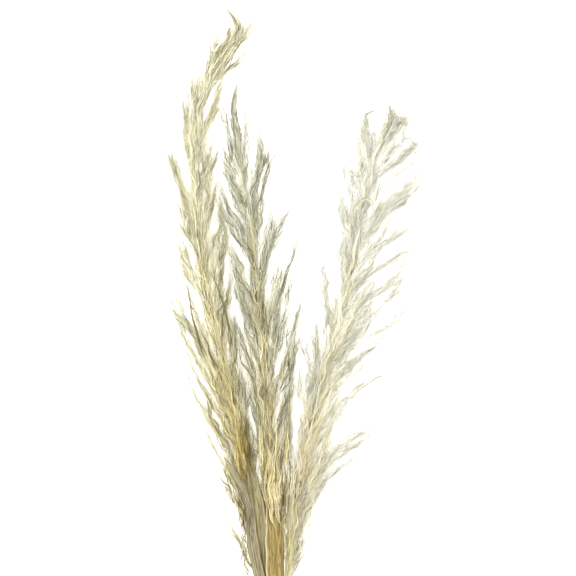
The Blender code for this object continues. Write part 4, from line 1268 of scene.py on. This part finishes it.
    print("plume", side, len(branches), "branches", len(locks), "locks",
          sum(len(p.vertices) - 2 for p in body.polygons), "and",
          sum(len(p.vertices) - 2 for p in fluff.polygons), "triangles")


# Tubes: culms, the plumes' stalks and the twine

def tubeMesh(name, centres, radii, sides, ends=True):
    centres = np.asarray(centres, float)
    heading = unit(np.gradient(centres, axis=0))
    side = unit(np.cross(heading, [0.0, 0.0, 1.0]))
    up = np.cross(side, heading)
    radii = np.asarray(radii, float)
    if radii.ndim == 1:
        radii = np.repeat(radii[:, None], sides, 1)
    angles = np.arange(sides) * 2 * math.pi / sides
    places = (centres[:, None] + radii[..., None]
              * (np.cos(angles)[None, :, None] * side[:, None]
                 + np.sin(angles)[None, :, None] * up[:, None]))
    places[..., 2] = np.maximum(places[..., 2], 0.0)
    rings = len(centres)
    verts = toRow(places.reshape(-1, 3)).tolist()
    faces, spots = [], []
    run = np.concatenate([[0], np.cumsum(np.linalg.norm(np.diff(centres, axis=0), axis=1))])
    run = 0.02 + 0.96 * run / run[-1]
    for r in range(rings - 1):
        for k in range(sides):
            j = (k + 1) % sides
            faces.append((r * sides + k, r * sides + j, (r + 1) * sides + j, (r + 1) * sides + k))
            left, right = 0.02 + 0.96 * k / sides, 0.02 + 0.96 * (k + 1) / sides
            spots += [(left, run[r]), (right, run[r]), (right, run[r + 1]), (left, run[r + 1])]
    if ends:
        for ring, flip in ((0, False), (rings - 1, True)):
            loop = [ring * sides + k for k in range(sides)]
            faces.append(loop if flip else loop[::-1])
            near = [(0.5 + 0.01 * math.cos(a), 0.01 + 0.008 * math.sin(a) + 0.98 * flip)
                    for a in angles]
            spots += near if flip else near[::-1]
    mesh = bpy.data.meshes.new(name)
    mesh.from_pydata(verts, [], faces)
    mesh.shade_smooth()
    mapLayer = mesh.uv_layers.new(name="OFBake")
    mapLayer.data.foreach_set("uv", np.array(spots, np.float32).ravel())
    return mesh


culmLook = {
    "sides": 24,
    "step": 2.0,
    "tiedRadius": 3.5,
    "topRadius": 2.8,
    "taper": 0.05,
    "jointSwell": 0.45,
    "jointLength": 5.0,
    "ridges": 0.07,
    "straw": ((0.34, 0.24, 0.10), (0.60, 0.47, 0.24), (0.78, 0.67, 0.40)),
    "axis": ((0.30, 0.25, 0.12), (0.56, 0.48, 0.27), (0.78, 0.72, 0.48)),
}


def culmRadius(stalk, y):
    cutEnd, top = stalk["line"][0][1], stalk["plumeFrom"]
    slope = (culmLook["topRadius"] - culmLook["tiedRadius"]) / top
    radius = culmLook["tiedRadius"] + slope * max(y, 0)
    swell = max(math.exp(-((y - j) / culmLook["jointLength"]) ** 2) for j in stalk["joints"])
    return radius * (1 - culmLook["taper"] * (y - cutEnd) / (top - cutEnd)) + \
        culmLook["jointSwell"] * swell


def makeStrawMaterial(name, colours):
    material, tree, shader, place = plainMaterial(name, 0.45)
    streaks = useGroup(tree, fibreStreaks, Vector=place, Across=60.0, Along=3.0, Sharpness=2.0)
    patches = useGroup(tree, agePatches, Vector=place, Scale=7.0, Low=0.42, High=0.66)
    dark, middle, light = colours
    tone = maths(tree, "SUBTRACT", 0.72, maths(tree, "MULTIPLY", patches.outputs[0], 0.34))
    straw = useGroup(tree, dryColour, Dark=dark, Middle=middle, Light=light, Tone=tone,
                     Streak=streaks.outputs[0], Streak_Depth=0.5)
    tree.links.new(straw.outputs["Color"], shader.inputs["Base Color"])
    rough = addNode(tree, "ShaderNodeMapRange", Value=patches.outputs[0])
    rough.inputs["To Min"].default_value = 0.36
    rough.inputs["To Max"].default_value = 0.6
    tree.links.new(rough.outputs[0], shader.inputs["Roughness"])
    bump = addNode(tree, "ShaderNodeBump", Strength=0.25, Distance=0.0002,
                   Height=streaks.outputs[0])
    tree.links.new(bump.outputs[0], shader.inputs["Normal"])
    return material


def makeCulm(side, material):
    stalk = stalks[side]
    line, top = stalk["line"], stalk["plumeFrom"]
    levels = list(np.arange(line[0][1], top, culmLook["step"])) + [top]
    for joint in stalk["joints"]:
        levels += [joint - 1.0, joint - 0.5, joint + 0.5, joint + 1.0]
    levels = sorted(set(round(float(y), 3) for y in levels))
    centres, radii = [], []
    angles = np.arange(culmLook["sides"]) * 2 * math.pi / culmLook["sides"]
    for y in levels:
        radius = culmRadius(stalk, y)
        for joint in stalk["joints"]:  # a fine groove, and the scar of the old leaf above it
            radius -= 0.28 * math.exp(-((y - joint) / 0.6) ** 2)
            radius += 0.16 * math.exp(-((y - joint - 1.6) / 0.7) ** 2)
        centre = onLine(line, y)
        centre.z = max(centre.z, radius * math.cos(math.pi / 8))
        centres.append(centre)
        radii.append(radius + culmLook["ridges"] * np.cos(angles * 8 + 0.02 * y))
    mesh = tubeMesh("culm_" + side + "_straw", centres, radii, culmLook["sides"])
    pieceObject(mesh.name, mesh, material, "straw", "culm_" + side)


def makeAxis(side, silk, material):
    # The stalk's own thin axis, on through the plume
    stalk = stalks[side]
    foot, tipY = stalk["plumeFrom"] + 0.3, stalk["line"][-1][1]
    levels = np.arange(foot, tipY, 3.0)
    centres = [onLine(stalk["line"], y) for y in levels]
    radii = 2.2 + (0.4 - 2.2) * np.minimum(1, 1.6 * (levels - foot) / (tipY - foot))
    mesh = tubeMesh(side + "PlumeAxis", centres, radii, 10)
    pieceObject(mesh.name, mesh, material, silk["slot"])


# Leaves. strips are (share of the width where the strip's middle is, its share of the width, y
# where it tears free, y of its tip, how far its tip leans right)

leafLook = {
    "leaf_strap": {
        "material": "greyLeaf", "slot": "grey_leaf", "arch": 0.14, "curl": 0.2,
        "line": [(-3.3, 44, 18.5), (-9, 72, 24), (-15.5, 100, 28.5), (-21, 126, 33),
                 (-23.5, 145, 36), (-25, 168, 39), (-29.5, 185, 41), (-37, 199, 42),
                 (-44, 212, 42), (-48, 221, 40)],
        "widths": (6, 8, 10, 11, 9.5, 8, 8, 8.5, 9, 7),
        "rolls": (-35, -18, -6, 0, 10, 22, 26, 20, 14, 10),
        "colours": ((0.18, 0.147, 0.068), (0.39, 0.338, 0.185), (0.67, 0.60, 0.40)),
        "stain": (0.22, 0.17, 0.08), "leftEdge": (0.10, 0.07, 0.025),
        "rightEdge": (0.27, 0.23, 0.125), "seed": 3.1,
        "strips": [(0.36, 0.72, 210, 221, -2), (0.84, 0.36, 150, 190, 3)],
        "fibres": 80,
        "fibreColours": ((0.10, 0.08, 0.03), (0.30, 0.265, 0.155), (0.66, 0.62, 0.48)),
    },
    "leaf_sheath": {
        "material": "oliveLeaf", "slot": "olive_leaf", "arch": 0.12, "curl": 0.08,
        "line": [(-8.3, 44, 11.2), (-10.5, 72, 16.5), (-12.5, 100, 22), (-14, 130, 28),
                 (-15.5, 156, 33), (-18, 178, 36), (-21.5, 196, 37), (-25.5, 212, 38),
                 (-28, 222, 38)],
        "widths": (7, 9, 10, 11, 12, 12, 11, 8, 2),
        "rolls": (-30, -16, -6, 0, 0, 0, 0, 0, 0),
        "colours": ((0.17, 0.14, 0.055), (0.40, 0.345, 0.175), (0.66, 0.60, 0.38)),
        "stain": (0.33, 0.25, 0.10), "leftEdge": (0.11, 0.085, 0.03),
        "rightEdge": (0.36, 0.31, 0.17), "seed": 7.7,
        "strips": [(0.19, 0.38, 160, 206, -1), (0.50, 0.40, 182, 222, 0),
                   (0.81, 0.38, 168, 212, 1)],
        "fibres": 90,
        "fibreColours": ((0.11, 0.08, 0.03), (0.32, 0.27, 0.12), (0.68, 0.62, 0.40)),
    },
    "leaf_ochre": {
        "material": "ochreLeaf", "slot": "ochre_leaf", "arch": 0.13, "curl": 0.07,
        "line": [(7.5, 44, 11.5), (5, 72, 20), (0.5, 100, 28.5), (0, 130, 34),
                 (-1, 160, 38), (-4, 190, 40), (-6, 214, 40)],
        "widths": (7, 11, 17, 18.5, 15, 10, 2),
        "rolls": leaves["leaf_ochre"]["roll"],
        "colours": ((0.15, 0.095, 0.022), (0.33, 0.235, 0.062), (0.66, 0.54, 0.22)),
        "stain": (0.25, 0.16, 0.045), "leftEdge": (0.80, 0.75, 0.52),
        # the ochre leaf's pale left edge is a painted highlight
        "rightEdge": (0.12, 0.055, 0.015), "seed": 12.3,
        "strips": [(0.14, 0.30, 138, 180, -1), (0.38, 0.32, 150, 214, 0),
                   (0.63, 0.32, 146, 198, 1), (0.86, 0.30, 132, 172, 2)],
        "fibres": 120,
        "fibreColours": ((0.13, 0.075, 0.018), (0.37, 0.265, 0.072), (0.80, 0.70, 0.38)),
    },
}


def alongLeaf(look, y, values):
    return float(np.interp(y, [point[1] for point in look["line"]], look[values]))


def makeLeafMaterial(look):
    material, tree, shader, place = plainMaterial(look["material"], 0.55)
    veins = useGroup(tree, fibreStreaks, Vector=place, Across=9.0, Along=2.2, Sharpness=3.2)
    fine = useGroup(tree, fibreStreaks, Vector=place, Across=34.0, Along=6.0, Sharpness=2.6)
    patches = useGroup(tree, agePatches, Vector=place, Scale=4.0, Low=0.45, High=0.68)
    dark, middle, light = look["colours"]
    tone = maths(tree, "ADD", maths(tree, "MULTIPLY", veins.outputs[0], 0.7), 0.15)
    blade = useGroup(tree, dryColour, Dark=dark, Middle=middle, Light=light, Tone=tone,
                     Streak=fine.outputs[0], Streak_Depth=0.35)
    share = maths(tree, "MULTIPLY", patches.outputs[0], 0.6)
    stained = mixColour(tree, share, blade.outputs["Color"], look["stain"])
    parts = addNode(tree, "ShaderNodeSeparateXYZ", Vector=place)
    colour = stained
    # each edge is mixed toward its own edge colour; the ochre leaf's pale left edge is a painted
    # highlight
    for side, middle, rim in (("leftEdge", 0.14, 0.0), ("rightEdge", 0.86, 1.0)):
        atEdge = addNode(tree, "ShaderNodeMapRange", {"interpolation_type": "SMOOTHSTEP"},
                         Value=parts.outputs["X"])
        atEdge.inputs["From Min"].default_value = middle
        atEdge.inputs["From Max"].default_value = rim
        edgeShare = maths(tree, "MULTIPLY", atEdge.outputs[0], 0.85)
        colour = mixColour(tree, edgeShare, colour, look[side])
    tree.links.new(colour, shader.inputs["Base Color"])
    rough = addNode(tree, "ShaderNodeMapRange", Value=fine.outputs[0])
    rough.inputs["To Min"].default_value = 0.45
    rough.inputs["To Max"].default_value = 0.7
    tree.links.new(rough.outputs[0], shader.inputs["Roughness"])
    bump = addNode(tree, "ShaderNodeBump", Strength=0.4, Distance=0.0003,
                   Height=veins.outputs[0])
    tree.links.new(bump.outputs[0], shader.inputs["Normal"])
    return material


def makeLeaf(name, look):
    # Strips side by side: one blade at the foot, torn into pointed ribbons further up
    line, columns, rows = look["line"], 7, 80
    foot = line[0][1]
    places, spots, faces = [], [], []
    for number, (middle, share, tears, tip, lean) in enumerate(look["strips"]):
        first = len(places)
        for r in range(rows):
            y = foot + (tip - foot) * r / (rows - 1)
            free = min(1.0, max(0.0, (y - tears) / (tip - tears)))
            narrow = (1 - free**1.8) * (1 - 0.25 * min(1, free * 5)) + 0.03
            along = directionOn(line, y)
            across = along.cross(Vector((0, 0, 1))).normalized()
            rolled = math.radians(alongLeaf(look, y, "rolls"))
            rolled += 0.7 * free * math.sin(3 * free + number * 2)
            across = Quaternion(along, rolled) @ across
            up = across.cross(along).normalized()
            wander = noise.noise(Vector((look["seed"], y / 24, number * 3)))
            aside = lean * free**1.5 + 1.6 * wander * min(1, free * 3)
            width = alongLeaf(look, y, "widths")
            width *= 1 + 0.12 * noise.noise(Vector((look["seed"], y / 18, 0)))
            for c in range(columns):
                part = 2 * c / (columns - 1) - 1
                q = 2 * middle - 1 + share * part * narrow
                bend = -width * look["arch"] * q * q * (1 - 0.5 * free)
                bend += width * look["curl"] * abs(q) ** 5 - 0.9 * share * width * free * part**2 * 0.3
                ridge = 0.14 * math.cos(q * math.pi * 5.5) + 0.35 * wander * part
                point = onLine(line, y) + across * (q * width / 2 + aside) + up * (bend + ridge)
                places.append(point + up * 0.15 * number)
                across01 = middle + share * part / 2
                spots.append((0.03 + 0.94 * across01, 0.02 + 0.96 * (y - foot) / (line[-1][1] - foot)))
        for r in range(rows - 1):
            for c in range(columns - 1):
                low, high = first + r * columns + c, first + (r + 1) * columns + c
                faces.append((low, low + 1, high + 1, high))
    mesh = bpy.data.meshes.new(name + "_blade")
    mesh.from_pydata(toRow(places).tolist(), [], faces)
    mesh.shade_smooth()
    mapLayer = mesh.uv_layers.new(name="OFBake")
    flat = [corner for face in faces for corner in face]
    mapLayer.data.foreach_set("uv", np.array([spots[i] for i in flat], np.float32).ravel())
    piece = pieceObject(mesh.name, mesh, makeLeafMaterial(look), look["slot"], name)
    thick = piece.modifiers.new("thickness", "SOLIDIFY")
    thick.thickness, thick.offset = 0.0005, 0.0
    makeLeafFibres(name, look)


def makeLeafFibres(name, look):
    # Loose fibres that have split off along the blade and lie on it
    line, draw = look["line"], np.random.default_rng(int(look["seed"] * 10))
    count, stations = look["fibres"], strandStations["lock"]
    foot, tipY = line[0][1] + 4, line[-1][1]
    start = foot + (tipY - foot) * draw.uniform(0, 0.75, count)
    end = np.minimum(start + draw.uniform(26, 80, count), tipY + 8)
    y = start[:, None] + (end - start)[:, None] * stations
    levels = np.linspace(foot, tipY, 60)
    over = np.array([onLine(line, level) for level in levels])
    width = np.interp(y, levels, [alongLeaf(look, level, "widths") for level in levels])
    roll = np.radians(np.interp(y, levels, [alongLeaf(look, level, "rolls") for level in levels]))
    q = np.clip(draw.uniform(-1, 1, count)[:, None] + draw.normal(0, 0.12, (count, 1))
                * stations, -1, 1)
    phase = 2 * math.pi * y / 26 + draw.uniform(0, 2 * math.pi, (count, 1))
    aside = q * width / 2 + 0.35 * np.sin(phase)
    sag = look["arch"] * width * q * q
    lift = 0.45 + 0.25 * np.sin(1.4 * phase) + draw.uniform(0, 1.6, (count, 1)) * stations**3
    x = np.interp(y, levels, over[:, 0]) + aside * np.cos(roll) + (lift - sag) * np.sin(roll)
    z = np.interp(y, levels, over[:, 2]) - aside * np.sin(roll) + (lift - sag) * np.cos(roll)
    tone = draw.normal(0.55, 0.24, count)
    mesh = strandMesh(name + "_fibres", [(np.stack([x, y, z], -1), draw.uniform(0.16, 0.34, count),
                                          tone, draw.uniform(0, 0.99, count), stations,
                                          spindle)], draw)
    colours = look["fibreColours"]
    silk = {"material": look["material"] + "Fibre", "shades": [(0.0, *colours), (1.0, *colours)],
            "tipColour": look["stain"], "tipShare": 0.5}
    pieceObject(mesh.name, mesh, makeSilk(silk), look["slot"])


# Twine

twine = {
    "turns": 5,
    "thickness": 2.2,
    "plies": 3,
    "pitch": 6.5,
    "step": 0.6,
    "sides": 7,
    "fuzz": 420,
    "colours": ((0.24, 0.16, 0.08), (0.45, 0.33, 0.19), (0.64, 0.51, 0.33)),
}


def tieOutline(offset, perCorner=14):
    corners = [onLine(stalks[side]["line"], 0) for side in ("right", "centre", "left")]
    radius = culmLook["tiedRadius"] + offset
    outline = []
    for i, corner in enumerate(corners):
        before, after = corners[i - 1], corners[(i + 1) % 3]
        start = math.atan2(-(corner - before).x, (corner - before).z)
        end = math.atan2(-(after - corner).x, (after - corner).z)
        while end < start:
            end += 2 * math.pi
        for k in range(perCorner + 1):
            angle = start + (end - start) * k / perCorner
            outline.append(corner + radius * Vector((math.cos(angle), 0, math.sin(angle))))
    return np.array(outline + outline[:1])


def makeTwineMaterial():
    material, tree, shader, place = plainMaterial("juteTwine", 0.85)
    streaks = useGroup(tree, fibreStreaks, Vector=place, Across=14.0, Along=220.0, Sharpness=2.4)
    patches = useGroup(tree, agePatches, Vector=place, Scale=24.0, Low=0.4, High=0.65)
    dark, middle, light = twine["colours"]
    tone = maths(tree, "SUBTRACT", 0.7, maths(tree, "MULTIPLY", patches.outputs[0], 0.3))
    fibre = useGroup(tree, dryColour, Dark=dark, Middle=middle, Light=light, Tone=tone,
                     Streak=streaks.outputs[0], Streak_Depth=0.7)
    tree.links.new(fibre.outputs["Color"], shader.inputs["Base Color"])
    rough = addNode(tree, "ShaderNodeMapRange", Value=streaks.outputs[0])
    rough.inputs["To Min"].default_value = 0.75
    rough.inputs["To Max"].default_value = 0.95
    tree.links.new(rough.outputs[0], shader.inputs["Roughness"])
    bump = addNode(tree, "ShaderNodeBump", Strength=0.5, Distance=0.0003,
                   Height=streaks.outputs[0])
    tree.links.new(bump.outputs[0], shader.inputs["Normal"])
    return material


def makeTwine():
    # A three-ply cord wound round the three culms
    radius = twine["thickness"] / 2
    outline = tieOutline(0.3 + radius)
    steps = np.linalg.norm(np.diff(outline, axis=0), axis=1)
    share = np.concatenate([[0], np.cumsum(steps)]) / steps.sum()
    total = steps.sum() * (twine["turns"] - 0.02)
    count = int(total / twine["step"])
    run = np.linspace(0, twine["turns"] - 0.02, count)
    path = np.stack([np.interp((run + 0.86) % 1, share, outline[:, k]) for k in range(3)], -1)
    half = (twine["turns"] - 1) * twine["thickness"] / 2
    path[:, 1] = np.interp(run, [0, twine["turns"]], [-half, half])
    heading = unit(np.gradient(path, axis=0))
    out = unit(np.cross(heading, [0.0, 1.0, 0.0]))
    other = np.cross(heading, out)
    plyRadius = radius * 0.5
    meshes = []
    for ply in range(twine["plies"]):
        angle = 2 * math.pi * (run * steps.sum() / twine["pitch"] + ply / twine["plies"])
        centres = path + plyRadius * (np.cos(angle)[:, None] * out
                                      + np.sin(angle)[:, None] * other)
        meshes.append(tubeMesh("ply", centres, np.full(count, plyRadius * 1.05), twine["sides"]))
    material = makeTwineMaterial()
    pieces = []
    for mesh in meshes:
        ply = bpy.data.objects.new("ply", mesh)
        bpy.context.scene.collection.objects.link(ply)
        pieces.append(ply)
    with bpy.context.temp_override(active_object=pieces[0], selected_editable_objects=pieces):
        bpy.ops.object.join()
    wound = pieces[0].data
    bpy.data.objects.remove(pieces[0])
    wound.name = "tieTwine"
    pieceObject("tieTwine", wound, material, "jute", "tie")
    # loose fibres that stand off the cord
    draw = np.random.default_rng(7)
    pick = draw.integers(4, count - 4, twine["fuzz"])
    turn = draw.uniform(0, 2 * math.pi, twine["fuzz"])
    off = np.cos(turn)[:, None] * out[pick] + np.sin(turn)[:, None] * other[pick]
    stations = strandStations["fine"]
    size = draw.uniform(0.5, 1.6, twine["fuzz"])
    lean = draw.uniform(-1.6, 1.6, twine["fuzz"])
    centres = (path[pick][:, None] + off[:, None] * (radius * 0.8 + size[:, None] * stations)[..., None]
               + heading[pick][:, None] * (lean[:, None] * stations)[..., None])
    fuzz = strandMesh("tieFuzz", [(centres, np.full(twine["fuzz"], 0.05),
                                   draw.uniform(0.3, 0.9, twine["fuzz"]),
                                   draw.uniform(0, 0.99, twine["fuzz"]), stations,
                                   ribbon)], draw)
    pieceObject("tieFuzz", fuzz, material, "jute")


# Stage, lights and camera

stageLook = {
    "floor": (0.92, 0.92, 0.92),
    "floorGlow": 0.8,       # a lit table, so that no shadow greys it
    "world": (1.0, 1.0, 1.0),
    "worldStrength": 0.98,
    "keyPlace": (-0.7, 0.8, 2.1),
    "keySize": 0.55,
    "keyPower": 44.0,
}
view = {
    "middle": (13.0, 388.0, 20.0),   # what the picture's middle looks at, from the tie
    "frameWidth": 0.576,
    "distance": 4.0,
    "sensor": 36.0,
}


def makeStage():
    mesh = bpy.data.meshes.new("floor")
    mesh.from_pydata([(-6, -6, -0.0001), (6, -6, -0.0001), (6, 6, -0.0001), (-6, 6, -0.0001)],
                     [], [(0, 1, 2, 3)])
    floor = bpy.data.objects.new("floor", mesh)
    bpy.context.scene.collection.objects.link(floor)
    paint = bpy.data.materials.new("paleFloor")
    paint.use_nodes = True
    shader = paint.node_tree.nodes["Principled BSDF"]
    shader.inputs["Base Color"].default_value = (*stageLook["floor"], 1)
    shader.inputs["Roughness"].default_value = 0.9
    shader.inputs["Specular IOR Level"].default_value = 0.0
    shader.inputs["Emission Color"].default_value = (1, 1, 1, 1)
    shader.inputs["Emission Strength"].default_value = stageLook["floorGlow"]
    floor.data.materials.append(paint)
    world = bpy.context.scene.world or bpy.data.worlds.new("studio")
    bpy.context.scene.world = world
    world.use_nodes = True
    back = world.node_tree.nodes["Background"]
    back.inputs["Color"].default_value = (*stageLook["world"], 1)
    back.inputs["Strength"].default_value = stageLook["worldStrength"]
    lamp = bpy.data.lights.new("key", "AREA")
    lamp.shape, lamp.size, lamp.energy = "DISK", stageLook["keySize"], stageLook["keyPower"]
    key = bpy.data.objects.new("key", lamp)
    bpy.context.scene.collection.objects.link(key)
    aim = Vector(toRow(view["middle"]))
    key.location = aim + Vector(stageLook["keyPlace"])
    key.rotation_euler = (aim - key.location).to_track_quat("-Z", "Y").to_euler()


def makeCamera():
    lens = bpy.data.cameras.new("camera")
    lens.sensor_width = view["sensor"]
    lens.lens = view["sensor"] * view["distance"] / view["frameWidth"]
    camera = bpy.data.objects.new("camera", lens)
    bpy.context.scene.collection.objects.link(camera)
    camera.location = Vector(toRow(view["middle"])) + Vector((0, 0, view["distance"]))
    bpy.context.scene.camera = camera
    bpy.context.scene.view_settings.view_transform = "Standard"


straw = makeStrawMaterial("strawCulm", culmLook["straw"])
axisStraw = makeStrawMaterial("plumeAxis", culmLook["axis"])
for side in stalks:
    makeCulm(side, straw)
print("culms made")
for side, hair, silk in (("left", leftHair, leftSilk), ("centre", centreHair, centreSilk),
                         ("right", rightHair, rightSilk)):
    makePlume(side, hair, silk)
    makeAxis(side, silk, axisStraw)
for name, look in leafLook.items():
    makeLeaf(name, look)
print("leaves made")
makeTwine()
print("tie made")
makeStage()
makeCamera()
